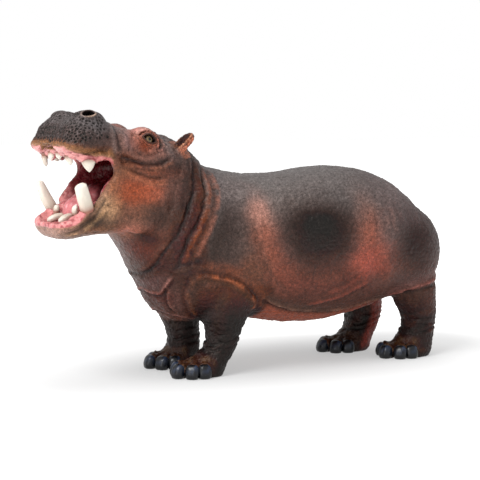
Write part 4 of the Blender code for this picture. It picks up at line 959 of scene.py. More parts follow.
IVORY, IVORY_LIGHT, IVORY_DARK, IVORY_ROOT = linear(192, 181, 166), linear(210, 203, 192), linear(140, 118, 98), linear(132, 82, 66)
TEETH = {   # line from the root to the tip, (place, half width, half thickness) along it, direction of the width, how far from the root the gum reaches, CAD node
    "tusk_lower_left": ([(-66.1, -10.6, 56.4), (-67.1, -10.8, 60.1), (-68.9, -11.7, 64.4), (-70.4, -12.4, 68.2)], ((0, 2.1, 1.7), (0.3, 2.3, 1.8), (0.6, 2.3, 1.75), (0.85, 2.15, 1.55), (0.95, 2.05, 1.4), (1, 1.95, 1.3)), (0.94, 0, 0.33), 0.30),
    "tusk_lower_right": ([(-66.9, 10.2, 54.6), (-67.7, 10.5, 57.5), (-70.2, 11.7, 63.0), (-72.0, 12.5, 68.2)], ((0, 1.7, 1.5), (0.25, 2.0, 1.6), (0.55, 2.0, 1.5), (0.8, 1.65, 1.2), (0.93, 1.3, 0.95), (1, 0.9, 0.65)), (0.94, 0, 0.33), 0.28),
    "tusk_upper_left": ([(-66.8, -11.2, 78.4), (-66.8, -11.7, 75.6), (-66.6, -11.9, 71.7)], ((0, 2.8, 1.8), (0.4, 2.75, 1.75), (0.7, 1.8, 1.3), (0.9, 0.85, 0.7), (1, 0.25, 0.25)), (1, 0, 0.05), 0.42),
    "tusk_upper_right": ([(-66.0, 11.0, 78.4), (-65.6, 11.6, 76.2), (-65.2, 12.1, 74.4)], ((0, 2.1, 1.6), (0.5, 1.9, 1.5), (0.85, 1.0, 0.8), (1, 0.3, 0.3)), (1, 0, 0.05), 0.5),
    "incisor_upper_a": ([(-72.2, -7.4, 78.6), (-71.9, -7.8, 76.6), (-71.1, -8.0, 74.0)], ((0, 1.4, 1.2), (0.5, 1.3, 1.0), (0.85, 0.85, 0.7), (1, 0.25, 0.25)), (0.5, -0.85, 0.1), 0.4),
    "incisor_upper_b": ([(-71.6, -2.5, 80.0), (-72.6, -2.8, 78.0), (-72.6, -3.0, 75.7)], ((0, 1.7, 1.1), (0.5, 1.65, 0.95), (0.8, 1.25, 0.75), (1, 0.45, 0.3)), (0.1, -1, 0), 0.6),
    "incisor_upper_c": ([(-71.8, 2.2, 79.8), (-72.9, 1.9, 77.6), (-73.2, 1.5, 75.2)], ((0, 1.6, 1.1), (0.5, 1.6, 0.95), (0.8, 1.25, 0.75), (1, 0.4, 0.3)), (-0.1, -1, 0), 0.55),
    "incisor_upper_d": ([(-72.4, 7.2, 78.4), (-72.5, 7.4, 76.0), (-71.8, 7.6, 73.0)], ((0, 1.5, 1.2), (0.5, 1.4, 1.0), (0.85, 0.8, 0.7), (1, 0.2, 0.2)), (-0.5, -0.85, 0.1), 0.35),
    "incisor_lower_a": ([(-67.9, -6.0, 57.2), (-69.1, -6.5, 59.1), (-68.9, -7.1, 61.1)], ((0, 0.95, 0.95), (0.5, 1.05, 0.95), (0.8, 0.9, 0.85), (1, 0.35, 0.35)), (0.5, -0.85, 0), 0.3),
    "incisor_lower_b": ([(-67.2, -2.0, 57.4), (-70.5, -2.8, 56.7), (-73.4, -3.5, 55.4)], ((0, 0.7, 0.7), (0.3, 1.1, 0.95), (0.65, 1.35, 1.05), (0.9, 0.95, 0.8), (1, 0.3, 0.3)), (0.2, -1, 0), 0.12),
    "incisor_lower_c": ([(-67.6, 2.1, 57.2), (-71.0, 2.9, 56.6), (-74.0, 3.5, 55.3)], ((0, 0.7, 0.7), (0.3, 1.15, 0.95), (0.65, 1.4, 1.05), (0.9, 1.0, 0.8), (1, 0.3, 0.3)), (-0.2, -1, 0), 0.12),
    "incisor_lower_d": ([(-69.0, 6.4, 57.2), (-68.8, 6.5, 58.8), (-68.2, 6.6, 60.4)], ((0, 1.05, 1.0), (0.5, 1.15, 1.05), (0.8, 1.0, 0.95), (1, 0.4, 0.4)), (-0.5, -0.85, 0), 0.3),
}
teeth = {}
for name, (line, widths, across, gum_at) in TEETH.items():
    T = np.concatenate([np.linspace(0, 0.8, 26), 0.8 + 0.2 * np.sin(np.linspace(0, math.pi / 2, 15))[1:]])
    fine = bezier(line, np.linspace(0, 1, 201))
    spine = np.stack([np.interp(T, np.linspace(0, 1, 201), fine[:, k]) for k in range(3)], 1)
    W = np.array(widths)
    w, h = np.interp(T, W[:, 0], W[:, 1]), np.interp(T, W[:, 0], W[:, 2])
    w, h = np.convolve(np.pad(w, 2, "edge"), np.ones(5) / 5, "valid"), np.convolve(np.pad(h, 2, "edge"), np.ones(5) / 5, "valid")
    reach = np.linalg.norm(np.diff(fine, axis=0), axis=1).sum()
    end = np.clip((1.0 - T) * reach / max(0.9, 0.55 * float(np.interp(0.85, W[:, 0], W[:, 1]))), 0, 1)
    end = np.sqrt(np.clip(1 - (1 - end) ** 2, 0, 1))
    w, h = w * np.clip(end, 0.05, 1), h * np.clip(end, 0.05, 1)
    grad = np.gradient(spine, axis=0)
    n = 28
    ang = np.linspace(0, 2 * math.pi, n, endpoint=False)
    rings, cols = [], []
    seed = sum(map(ord, name)) % 97
    for i, (t, q) in enumerate(zip(T, spine)):
        g = unit(grad[min(i, len(grad) - 1)] if np.linalg.norm(grad[min(i, len(grad) - 1)]) > 1e-9 else grad[i - 1])
        a = unit(np.array(across, float) - g * (np.array(across, float) @ g))
        b = np.cross(g, a)
        R = 1 + 0.02 * np.cos(5 * ang + seed) + 0.015 * np.cos(9 * ang + 2 * seed)
        c, sn = np.cos(ang), np.sin(ang)
        e = 2 / 2.35
        ring = q + np.outer(R * w[i] * np.sign(c) * np.abs(c) ** e, a) + np.outer(R * h[i] * np.sign(sn) * np.abs(sn) ** e, b)
        rings.append(turned(ring))
        lines = 0.5 + 0.5 * noise(np.stack([ang * 1.1 + seed, np.full(n, t * 1.2), np.full(n, 0.0)], 1) * np.array((1, 1, 1)), 0.55, seed)
        col = IVORY + (IVORY_LIGHT - IVORY) * ramp(t, 0.3, 0.95) * 0.8
        col = np.repeat(col[None], n, 0)
        groove = np.clip(lines - 0.55, 0, 1)[:, None] * 0.75 * (0.5 + 0.5 * ramp(1 - t, 0.1, 0.6))
        col = col * (1 - groove) + IVORY_DARK * groove
        root = bell(t - gum_at, 0.10) * 0.55 + ramp(gum_at - t, -0.02, 0.1) * 0.8
        cols.append(col * (1 - min(root, 1)) + IVORY_ROOT * min(root, 1))
    teeth[name] = rings_mesh(name, rings, cols)
    teeth[name]["spine"] = 1

# gum rising round each tooth
form.normals()
form.H = unturned(form.P)
inside_mouth = np.nonzero(lining > 0.05)[0]
rise = np.zeros(len(inside_mouth))
tooth_base_shade = np.zeros(form.n)
for name, (line, widths, across, gum_at) in TEETH.items():
    L = bezier(line, np.linspace(0, 1, 60))
    r = float(np.interp(gum_at, [w[0] for w in widths], [(w[1] + w[2]) / 2 for w in widths]))
    d = np.sqrt(((form.H[inside_mouth][:, None, :] - L[None, : int(60 * min(gum_at + 0.25, 1))]) ** 2).sum(2).min(1)) - r
    rise = np.maximum(rise, 0.42 * bell(d - 0.35, 0.55))
    tooth_base_shade[inside_mouth] = np.maximum(tooth_base_shade[inside_mouth], bell(d, 0.35))
form.P[inside_mouth] += form.N[inside_mouth] * (rise * lining[inside_mouth])[:, None]
form.back()

# tongue
u, v = np.meshgrid(np.linspace(0, 2 * math.pi, 96, endpoint=False), np.linspace(0.02, math.pi - 0.02, 64))
TM = np.array(TURN @ Matrix.Translation((-61.2, 0, 61.9)) @ spin((0, -31, 0)))
rings, cols = [], []
for i in range(len(v)):
    x, y, z = -np.cos(v[i]), np.sin(v[i]) * np.cos(u[i]), np.sin(v[i]) * np.sin(u[i])
    Q = np.stack([x * 9.2, np.sign(y) * np.abs(y) ** 0.85 * 5.4, np.sign(z) * np.abs(z) ** 0.9 * 3.4], 1)
    up = ramp(z, 0.0, 0.6)
    Q[:, 2] -= up * 0.75 * bell(Q[:, 1], 0.9) * ramp(-Q[:, 0], -6, 2)
    Q[:, 2] += 0.9 * bell(Q[:, 0] + 6.2, 2.2) * up * 0.4
    Q += 0.28 * np.stack([noise(Q, 1.7, 51), noise(Q, 1.7, 52), noise(Q, 1.5, 53)], 1) + np.array((0, 0, 0.10)) * noise(Q, 0.7, 54)[:, None]
    rings.append((Q @ TM[:3, :3].T + TM[:3, 3]))
    m = (0.5 + 0.5 * noise(Q, 2.2, 55))[:, None]
    # the tongue darkens towards its back, painted shade deep in the mouth
    deep = ramp(Q[:, 0], -2.0, 6.0)[:, None]
    c = linear(190, 112, 114) * (1 - m * 0.7) + linear(132, 56, 62) * m * 0.7
    cols.append(c * (1 - deep) + linear(70, 18, 22) * deep)
tongue = rings_mesh("tongue_soft", rings, cols)

# eyes: a painted ball on each side, the iris facing straight out between the lids
eyes = []
for o, s, node in zip(LIDS, (1, -1), ("eye_left", "eye_right")):
    c = o.O - o.n * (EYE_R + 0.22) + o.a * 0.05 + o.b * 0.05
    gaze = unit(o.n + 0.06 * o.a * 0 + 0.02 * o.b)
    a = unit(o.a - gaze * (o.a @ gaze))
    b = np.cross(gaze, a)
    b = b * np.sign(b[2])
    th = np.concatenate([np.linspace(0.004, 1.2, 90), np.linspace(1.2, math.pi - 0.02, 30)[1:]])
    ph = np.linspace(0, 2 * math.pi, 96, endpoint=False)
    rings, cols = [], []
    for t in th:
        r = EYE_R * (1 + 0.035 * bell(t, 0.55))
        ring = c + r * (math.cos(t) * gaze + math.sin(t) * (np.outer(np.cos(ph), a) + np.outer(np.sin(ph), b)))
        rings.append(turned(ring))
        rho = EYE_R * math.sin(t) if t < math.pi / 2 else 9.0
        fibre = 0.5 + 0.5 * noise(np.stack([np.cos(ph) * 6, np.sin(ph) * 6, np.full(96, rho * 1.2)], 1), 1.0, 61)
        iris = linear(118, 96, 66)[None] * (0.45 + 0.8 * fibre[:, None]) * (1.25 - 0.45 * rho / 1.2)
        white = np.repeat(linear(60, 38, 28)[None], 96, 0)
        k = ramp(np.full(96, rho), 1.26, 1.40)[:, None]
        ringdark = bell(rho - 1.31, 0.15)
        col = iris * (1 - k) + white * k
        col = col * (1 - 0.85 * ringdark)
        col = col * ramp(rho, 0.52, 0.64) + 0.003 * (1 - ramp(rho, 0.52, 0.64))
        cols.append(col)
    e = rings_mesh(node.replace("eye", "eyeball"), rings, cols)
    eyes.append((e, node))

# nails
nails = []
count = {}
for name, M in nail_frames:
    u = np.linspace(0, 2 * math.pi, 64, endpoint=False)
    rings, cols = [], []
    A = np.array(M)
    ux, uy = A[0, 0], A[1, 0]
    for v in np.linspace(0.03, math.pi - 0.03, 44):
        z = np.cos(v)
        x, y = np.sin(v) * np.cos(u), np.sin(v) * np.sin(u)
        Q = np.stack([NAIL[0] * np.sign(x) * np.abs(x) ** 0.8, NAIL[1] * np.sign(y) * np.abs(y) ** 0.72, np.full(64, NAIL[2] * math.copysign(abs(z) ** 0.8, z))], 1)
        Q[:, 0] -= 0.10 * (Q[:, 1] / 2) ** 2 * (Q[:, 0] > 0)
        Q[:, 0] += 0.09 * noise(Q * np.array((0.3, 1, 0.3)) + len(nails), 0.9, 70)
        W = Q @ A[:3, :3].T + A[:3, 3]
        W[:, 2] = np.where(W[:, 2] < 0.9, 0.12 + (W[:, 2] - 0.12).clip(0) * ramp(W[:, 2], -0.6, 0.9), W[:, 2])
        rings.append(W)
        # the blue-grey streaks, lighter towards the top, are a painted sheen; the sides are darkened as painted shade,
        # and the nail darkens towards the ground
        f = 0.5 + 0.5 * noise(Q * np.array((0.6, 1.2, 0.35)), 1.0, 71)
        m = (np.clip(f - 0.35, 0, 1) * 1.3 * ramp(Q[:, 2], -1.6, 0.6))[:, None]
        nail_side_shade = ramp(np.abs(Q[:, 1]), 1.3, 2.4)[:, None]
        c = linear(9, 10, 14) * (1 - m) + linear(46, 56, 78) * m
        c = c * (1 - 0.6 * nail_side_shade)
        c = c * (0.55 + 0.45 * ramp(W[:, 2], 0.1, 1.4)[:, None])
        cols.append(c)
    count[name] = count.get(name, 0) + 1
    nails.append((rings_mesh(f"hoof_{name}_{count[name]}", rings, cols), name, count[name]))

# ------------------------------------------------------------------ floor, light, camera
sweep = bpy.data.meshes.new("floor")
sweep.from_pydata([(-3, -3, 0), (3, -3, 0), (3, 3, 0), (-3, 3, 0)], [], [(0, 1, 2, 3)])
floor = bpy.data.objects.new("floor", sweep)
SC.collection.objects.link(floor)
floor.location.z = -0.00002
floor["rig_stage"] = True

world = bpy.data.worlds.new("studio")
SC.world = world
world.use_nodes = True
world.node_tree.nodes["Background"].inputs["Color"].default_value = (1, 1, 1, 1)
# the backdrop is white, while the light it sheds is softer than the lamps
seen = world.node_tree.nodes.new("ShaderNodeLightPath")
level = world.node_tree.nodes.new("ShaderNodeMath")
level.operation = 'MULTIPLY_ADD'
level.inputs[1].default_value, level.inputs[2].default_value = 0.24, 0.76
world.node_tree.links.new(seen.outputs["Is Camera Ray"], level.inputs[0])
world.node_tree.links.new(level.outputs[0], world.node_tree.nodes["Background"].inputs["Strength"])


def softbox(name, place, size, power, target=(0, 0, 0.045), colour=(1, 1, 1)):
    li = bpy.data.lights.new(name, 'AREA')
    li.shape, li.size, li.size_y, li.energy, li.color = 'RECTANGLE', size[0], size[1], power, colour
    ob = bpy.data.objects.new(name, li)
    SC.collection.objects.link(ob)
    ob.location = place
    ob.rotation_euler = (Vector(target) - Vector(place)).to_track_quat('-Z', 'Y').to_euler()
    return ob


softbox("key", (-0.40, -0.20, 0.52), (0.30, 0.30), 4.3)
softbox("top", (0.05, 0.02, 0.70), (0.40, 0.40), 1.6)
softbox("fill", (-0.62, -0.34, 0.10), (0.30, 0.24), 0.5, (-0.07, 0, 0.065))

pitch, az = math.atan(130 / 1371), math.radians(-28)
ahead = Vector((-math.sin(az), math.cos(az), 0))
look = ahead * math.cos(pitch) + Vector((0, 0, -1)) * math.sin(pitch)
right = Vector((math.cos(az), math.sin(az), 0))
above = right.cross(look)
C = Vector((-0.23116, -0.430923, 0.0917))
cam = bpy.data.cameras.new("camera")
cam.sensor_width, cam.lens, cam.clip_start, cam.clip_end = 36.0, 36.0 * 1371 / 480, 0.01, 20.0
camera = bpy.data.objects.new("camera", cam)
SC.collection.objects.link(camera)
camera.matrix_world = Matrix(((right.x, above.x, -look.x, C.x), (right.y, above.y, -look.y, C.y), (right.z, above.z, -look.z, C.z), (0, 0, 0, 1)))
SC.camera = camera
SC.view_settings.view_transform = 'Standard'

# ------------------------------------------------------------------ the skin's own mesh in the row frame
skin.data.vertices.foreach_set("co", to_row(form.P).astype(np.float32).ravel())
skin.data.update()
skin.data.shade_smooth()
WORK.objects.unlink(skin)
SC.collection.objects.link(skin)


# ------------------------------------------------------------------ paint: a base coat, then sprayed and brushed passes
form.normals()
form.H = unturned(form.P)
B, H, N = form.P.copy(), form.H.copy(), form.N
HN = N @ UNTURN_NP[:3, :3].T
wobble = np.stack([noise(B, 4.5, 81), noise(B, 4.5, 82), noise(B, 4.5, 83)], 1) * 0.9 + np.stack([noise(B, 1.6, 84), noise(B, 1.6, 85), noise(B, 1.6, 86)], 1) * 0.35
BB, HH = B + wobble, H + wobble * 0.6
BB[:, 1], HH[:, 1] = -np.abs(BB[:, 1]), -np.abs(HH[:, 1])
COAT = np.repeat(linear(84, 76, 74)[None], form.n, 0)


def lay(w, rgb, ids=None):
    """Paint of one colour over what is there, w thick."""
    c = linear(*rgb)
    if ids is None:
        COAT[:] = COAT * (1 - w[:, None]) + c * w[:, None]
    else:
        COAT[ids] = COAT[ids] * (1 - w[:, None]) + c * w[:, None]


def spot(kind, c, r, rgb, strength=1.0, hard=1.0, where=None):
    Q = BB if kind == "B" else HH
    d = (((Q - np.array(c, float)) / np.array(r, float)) ** 2).sum(1)
    w = strength * np.exp(-d ** hard)
    lay(w if where is None else w * where, rgb)


def brush(name, off, width, rgb, strength=1.0, broken=0.0, part=(0, 1)):
    st = STROKES[name]
    w = strength * bell(st.s - off, width) * st.t
    if broken:
        w = w * ramp(noise(B[st.idx], 2.2, 90) + 0.5, broken - 0.4, broken + 0.4)
    lay(np.clip(w, 0, 1), rgb, st.idx)


x, z = BB[:, 0], BB[:, 2]
trunk = ramp(x, -27, -21)
# back and sides
lay(trunk * ramp(z, 42, 60), (80, 76, 75))
lay(trunk * ramp(x, 24, 55) * ramp(z, 42, 60), (68, 60, 59))
lay(trunk * ramp(46 - z, 0, 12), (76, 45, 35))
lay(trunk * ramp(30 - z, 0, 6), (62, 38, 30))
spot("B", (8, -22, 58), (14, 20, 6.5), (98, 88, 84), 0.7)
spot("B", (20, -20, 66), (18, 20, 5), (80, 72, 70), 0.6)
spot("B", (54, -18, 60), (12, 20, 9), (92, 79, 78), 0.6)
# behind the shoulder and before the thigh
spot("B", (-7.6, -21, 44), (7.5, 14, 13), (82, 60, 52), 0.85)
spot("B", (19.5, -23, 50.0), (19.2, 22.0, 12.2), (42, 27, 23), 0.9, 1.5)
spot("B", (19.0, -23, 52.0), (12.0, 22, 6.6), (16, 9, 8), 0.95, 1.1)
spot("B", (19.0, -24, 43.5), (14.0, 18, 6.0), (24, 11, 8), 0.85)
for c, r, col in (((-3.4, -20, 56), (4.2, 12, 6.4), (158, 113, 100)), ((-2.6, -21, 49), (4.4, 12, 6.0), (121, 71, 56)), ((-0.2, -22, 42), (4.6, 12, 5.6), (114, 61, 46)),
                  ((3.8, -22, 35.5), (5.6, 12, 4.8), (112, 59, 46)), ((11.2, -22, 31.0), (7.6, 12, 3.8), (101, 52, 42)), ((20.0, -22, 29.6), (8.5, 12, 3.0), (84, 45, 37))):
    spot("B", c, r, col, 0.85)
spot("B", (23, -22, 36.5), (12, 14, 4.6), (61, 34, 29), 0.7)
spot("B", (16, -20, 26.6), (9, 12, 3.4), (76, 42, 35), 0.7)
spot("B", (38.6, -24, 55), (4.6, 14, 8.5), (100, 76, 69), 0.75)
spot("B", (39.0, -24.5, 47.5), (5.0, 14, 7.0), (123, 70, 55), 0.9)
spot("B", (41.6, -25, 38.6), (9.2, 14, 7.6), (125, 63, 50), 0.97, 1.25)
spot("B", (37.4, -25, 37.2), (5.4, 14, 4.4), (144, 71, 57), 0.85)
spot("B", (48.5, -24, 39.5), (5.0, 12, 6.5), (76, 48, 42), 0.5)
spot("B", (31, -22, 31.5), (8, 12, 3.6), (86, 43, 35), 0.6)
spot("B", (40, -21, 27.5), (9, 12, 4.0), (66, 35, 29), 0.6)
spot("B", (60.0, -22, 43.5), (10.5, 16, 11.0), (31, 15, 13), 0.97, 1.5)
spot("B", (70, -16, 42), (9, 16, 12), (58, 46, 45), 0.7)
spot("B", (60, -18, 53.5), (9, 16, 4.5), (74, 60, 59), 0.5)
spot("B", (58, -18, 30.5), (12, 12, 3.8), (66, 48, 46), 0.8)
spot("B", (47, -23, 51.5), (5, 9, 7), (90, 70, 66), 0.6)
# shoulder
spot("B", (-14.5, -19, 54), (7.5, 14, 10), (50, 40, 38), 0.92, 1.2)
spot("B", (-18.5, -19, 45.5), (7.6, 14, 9.0), (32, 23, 20), 0.95, 1.2)
spot("B", (-13, -20, 44), (6, 12, 6), (66, 54, 51), 0.5)
spot("B", (-13.0, -16, 65), (9, 14, 5), (88, 78, 76), 0.8)
spot("B", (-16.5, -20, 36.6), (13, 12, 3.8), (81, 45, 33), 0.9)
spot("B", (-6.0, -21, 36.0), (5, 10, 7.0), (85, 52, 39), 0.8)
spot("B", (-27.5, -18, 39.6), (5.5, 8, 4.5), (17, 9, 7), 0.95)
# neck
neck = ramp(-21.5 - x, 0, 3) * ramp(x, -46, -40)
lay(neck * 0.95, (55, 33, 27))
spot("B", (-20, -12, 70), (7, 12, 4.5), (72, 65, 65), 0.8)
spot("B", (-28.4, -14, 70.5), (5.0, 10, 9.0), (33, 26, 26), 0.97, 1.5)
spot("B", (-31.2, -17, 61.5), (4.8, 10, 8.5), (29, 20, 20), 0.97, 1.5)
spot("B", (-33.6, -17, 53.5), (4.8, 10, 6.5), (38, 17, 9), 0.9)
spot("B", (-24.6, -17, 62.5), (2.6, 10, 8), (68, 37, 24), 0.8)
spot("B", (-26.6, -18, 52.5), (3.2, 10, 6.5), (48, 16, 6), 0.85)
spot("B", (-31.0, -18, 44.2), (3.6, 9, 4.4), (23, 7, 4), 0.85)
spot("B", (-36.5, -16, 48.5), (6.5, 13, 6.5), (53, 30, 23), 0.8)
spot("B", (-42.0, -8, 52), (7.5, 11, 7.0), (108, 63, 51), 0.85)
spot("B", (-42.8, -8, 45.5), (5.5, 12, 5.5), (78, 30, 20), 0.85)
spot("B", (-33.5, -13, 37.0), (6.5, 9, 4.6), (46, 23, 17), 0.85)
spot("B", (-37.5, -5, 33.6), (4.5, 9, 3.2), (86, 60, 58), 0.85)
spot("B", (-34.5, -8, 26.6), (5, 9, 3.4), (74, 43, 38), 0.9)
spot("B", (-29.0, -11, 27.0), (4.6, 6, 5.0), (72, 48, 44), 0.8)
spot("B", (-29.0, -4, 20.5), (8, 7, 2.4), (90, 54, 44), 0.8)
# belly
flank_line = np.interp(x, [p[0] for p in FOLDS["flank"][1]], [p[2] for p in FOLDS["flank"][1]])
under = ramp(flank_line - 0.9 - B[:, 2], -0.5, 0.9) * ramp(x, -7, -3) * ramp(56 - x, 0, 5)
lay(under, (127, 64, 46))
lay(under * ramp(x, 26, 50) * 0.75, (77, 36, 28))
lay(under * ramp(-B[:, 2] + flank_line - 1.0, 1.6, -0.2) * 0.6, (84, 48, 38))
# legs and feet
for name, rows in LEGS.items():
    R = np.array(rows)[::-1]
    xc, yc = np.interp(B[:, 2], R[:, 2], R[:, 0]), np.interp(B[:, 2], R[:, 2], R[:, 1])
    hw, rear, front = (np.interp(B[:, 2], R[:, 2], R[:, k]) for k in (3, 4, 5))
    dx = B[:, 0] - xc
    rho = np.sqrt((dx / np.where(dx > 0, rear, front)) ** 2 + ((B[:, 1] - yc) / hw) ** 2)
    hind, far = name.startswith("hind"), name.endswith("right")
    on = (rho < 1.9) & (B[:, 2] < (26 if hind else 34)) & (B[:, 1] * R[0, 1] > 0)
    top = 26.0 if hind else 33.0
    m = on * ramp(1.75 - rho, 0, 0.35) * ramp(top - B[:, 2] + 1.5 * noise(B, 6, 92), 0, 4.0)
    zz = B[:, 2]
    if hind:
        lay(m * 0.95, (59, 32, 26))
        lay(m * ramp(20 - zz, 0, 6) * 0.85, (30, 13, 9))
        lay(m * ramp(xc + 1 - B[:, 0], 0, 4) * 0.5, (27, 19, 14))
        if far:
            lay(m * ramp(B[:, 0] - xc, -2.2, 1.2) * 0.8, (127, 57, 49))
            lay(m * ramp(xc - B[:, 0], -1.0, 2.0) * 0.85, (22, 10, 6))
        lay(m * bell(noise(B * np.array((0.5, 0.5, 1.0)), 2.4, 93) - 0.5, 0.35) * 0.35, (72, 46, 38))
    else:
        lay(m * 0.95, (38, 17, 9))
        lay(m * ramp(zz, 23, 30) * 0.7, (72, 35, 18))
        lay(m * ramp(25 - zz, 0, 7) * 0.9, (24, 9, 4))
        # a lighter band down the front edge of the front legs, with a blue-grey line on it: a painted highlight
        lay(m * bell(dx + front * 0.62, 2.2) * ramp(zz, 10, 18) * ramp(33 - zz, 0, 6) * 0.45, (51, 38, 30))
        lay(m * bell(dx + front * 0.78, 1.2) * bell(zz - 17, 8) * 0.3, (49, 46, 47))
        lay(m * bell(zz - 11, 3.5) * 0.5, (36, 21, 16))
    fx, fy, reach, fw, _ = FEET[name]
    foot = (B[:, 2] < 10) & (np.hypot(B[:, 0] - fx - 1, B[:, 1] - fy) < 16) & (B[:, 1] * fy > 0)
    t = foot * ramp(8.8 - zz, 0, 2.4) * ramp(fx + 5.0 - B[:, 0], 0, 5)
    lay(t * 0.9, (56, 33, 20) if not far else (50, 31, 20))
    lay(t * np.clip(noise(B, 1.8, 94), 0, 1) * 0.7, (85, 63, 46))
    lay(foot * ramp(3.6 - zz, 0, 3.2) * 0.8, (24, 20, 20))
# creases and ridges of the folds: painted shade in the creases and painted highlights on the ridges, in tones of the
# hide there
brush("throat", 0, 0.8, (30, 15, 11), 0.8, 0.0)
brush("throat", 1.6, 1.1, (49, 25, 14), 0.6, 0.3)
brush("throat", -1.5, 0.9, (100, 66, 54), 0.35, 0.3)
brush("collar", 0, 0.8, (36, 19, 12), 0.75)
brush("collar", 1.8, 1.1, (107, 51, 24), 0.6, 0.25)
brush("collar", 3.6, 1.2, (50, 24, 13), 0.6)
brush("collar", 5.4, 1.6, (123, 75, 60), 0.6, 0.2)
brush("collar", -2.0, 1.2, (63, 26, 10), 0.5, 0.3)
brush("neck_low", 0.9, 0.8, (74, 40, 23), 0.45, 0.35)
brush("neck_low", 0, 0.5, (38, 22, 18), 0.4)
brush("cheek", 0, 1.3, (48, 36, 34), 0.6)
brush("cheek", -2.6, 1.4, (98, 70, 62), 0.4, 0.2)
brush("chest_c", 0, 0.6, (126, 84, 76), 0.85)
brush("chest_c", -1.2, 0.7, (52, 24, 20), 0.85)
brush("chest_d", 0, 0.5, (46, 22, 18), 0.8)
brush("chest_d", 1.1, 0.6, (104, 66, 56), 0.6)
brush("chest_f", 0, 0.6, (126, 84, 76), 0.7)
brush("chest_f", -1.3, 0.7, (52, 24, 20), 0.8)
brush("leg_e", 0, 0.9, (104, 62, 42), 0.45, 0.2)
brush("leg_e", -1.5, 0.9, (52, 24, 17), 0.7)
brush("leg_e", 1.8, 1.0, (54, 34, 24), 0.3)
brush("shoulder", 0, 0.8, (76, 54, 46), 0.5)
brush("shoulder", 1.4, 0.8, (38, 24, 20), 0.7)
brush("elbow", 0, 0.85, (141, 76, 46), 0.65, 0.15)
brush("elbow", 1.4, 0.8, (60, 32, 23), 0.6)
brush("elbow", 3.4, 1.8, (99, 53, 36), 0.5, 0.1)
brush("elbow", -1.4, 0.9, (66, 42, 30), 0.6)
brush("flank", 0.1, 0.6, (116, 82, 66), 0.6, 0.1)
brush("flank", 1.6, 1.3, (70, 50, 43), 0.6)
brush("flank", -1.3, 0.7, (66, 34, 26), 0.7)
brush("flank_k1", 0, 1.0, (116, 57, 45), 0.65)
brush("flank_k1", -1.5, 0.8, (58, 34, 30), 0.5)
brush("flank_k2", 0, 1.0, (116, 57, 45), 0.55)
brush("rump", 0, 0.9, (118, 68, 60), 0.75)
brush("rump", 2.6, 1.8, (94, 62, 58), 0.5)
brush("rump", -1.7, 0.8, (38, 24, 20), 0.8)
brush("behind_shoulder", 0, 1.2, (74, 52, 44), 0.35)
for k in "abcd":
    brush("wrinkle_" + k, 0, 0.8, (52, 36, 34), 0.3)
    brush("wrinkle_" + k, 1.3, 0.9, (124, 90, 82), 0.3, 0.2)

# head
hx, hz = HH[:, 0], HH[:, 2]
hy = HH[:, 1]
cranium = ramp(-29.5 - hx, 0, 4) * ramp(hz, 58, 66)
lay(cranium * 0.9, (82, 60, 54))
jaw_part = ramp(-44.0 - hx + (hz - 52) * 0.3, 0, 4) * ramp(66 - hz, 0, 5) * ramp(hz, 47, 50)
lay(jaw_part * 0.95, (88, 62, 50))
spot("H", (-37, -6, 84), (3, 4, 3), (82, 79, 82), 0.9, 1.3)
spot("H", (-36.5, -12, 78), (5.5, 6, 5.0), (103, 89, 86), 0.8)
spot("H", (-36, -15, 72), (6.0, 8, 5.0), (37, 25, 23), 0.9)
spot("H", (-53.5, -8, 82), (5.0, 10, 5.5), (84, 69, 66), 0.9)
spot("H", (-52.0, -12, 80.8), (3.4, 5, 3.6), (140, 109, 106), 0.8)
spot("H", (-56.0, -12, 79.5), (2.6, 8, 5), (99, 71, 62), 0.7)
spot("H", (-54.0, -13, 75.8), (5.0, 8, 2.6), (98, 56, 42), 0.7)
spot("H", (-44.8, -10, 82.2), (6.2, 6, 4.6), (105, 54, 38), 0.95, 1.8)
# the light pink on top of the brow is a painted highlight
spot("H", (-46.4, -10, 85.2), (3.8, 5, 1.8), (152, 103, 96), 0.85)
spot("H", (-45.0, -13, 79.6), (5.4, 5, 2.4), (97, 41, 21), 0.85)
spot("H", (-49.4, -12, 82.4), (1.6, 4, 2.2), (134, 88, 78), 0.7)
spot("H", (-40.4, -12, 80.6), (1.3, 5, 3.0), (116, 64, 52), 0.7)
spot("H", (-46.5, -14, 76.0), (8.5, 8, 1.9), (92, 62, 54), 0.7)
spot("H", (-44.0, -14, 70.6), (8.5, 8, 2.6), (106, 56, 40), 0.8)
spot("H", (-53.4, -13, 71.5), (4.6, 8, 4.4), (104, 64, 45), 0.85)
spot("H", (-50.6, -15, 65.0), (10.5, 9, 4.9), (121, 57, 35), 0.98, 1.6)
spot("H", (-44.0, -15, 63.8), (5.0, 8, 3.0), (151, 78, 55), 0.7)
spot("H", (-38.0, -15, 64.5), (3.6, 8, 6), (90, 62, 54), 0.7)
spot("H", (-50.5, -15, 57.8), (8.5, 8, 3.2), (101, 62, 47), 0.85)
spot("H", (-42.0, -15, 56.5), (6.5, 8, 5.0), (54, 38, 33), 0.85)
spot("H", (-51.5, -11, 51.2), (5.2, 9, 2.8), (155, 94, 78), 0.9)
spot("H", (-46.0, -12, 49.2), (3.6, 6, 2.6), (28, 14, 8), 0.95)
spot("H", (-58.4, -14, 66.0), (2.6, 8, 7.0), (122, 86, 60), 0.8)
spot("H", (-61.4, -14, 60.4), (3.0, 8, 4.0), (187, 146, 110), 0.7)
spot("H", (-66.0, -14, 55.0), (6.0, 8, 2.8), (33, 23, 15), 0.85)
spot("H", (-64.0, -12, 52.4), (6.0, 9, 2.0), (120, 80, 58), 0.8)
spot("H", (-75.5, -5, 51.8), (5.0, 9, 2.2), (167, 130, 117), 0.85)
spot("H", (-73.0, -9, 51.0), (5.0, 6, 2.0), (92, 70, 54), 0.7)
spot("H", (-69.0, 0, 50.6), (7, 9, 1.6), (126, 96, 84), 0.6)
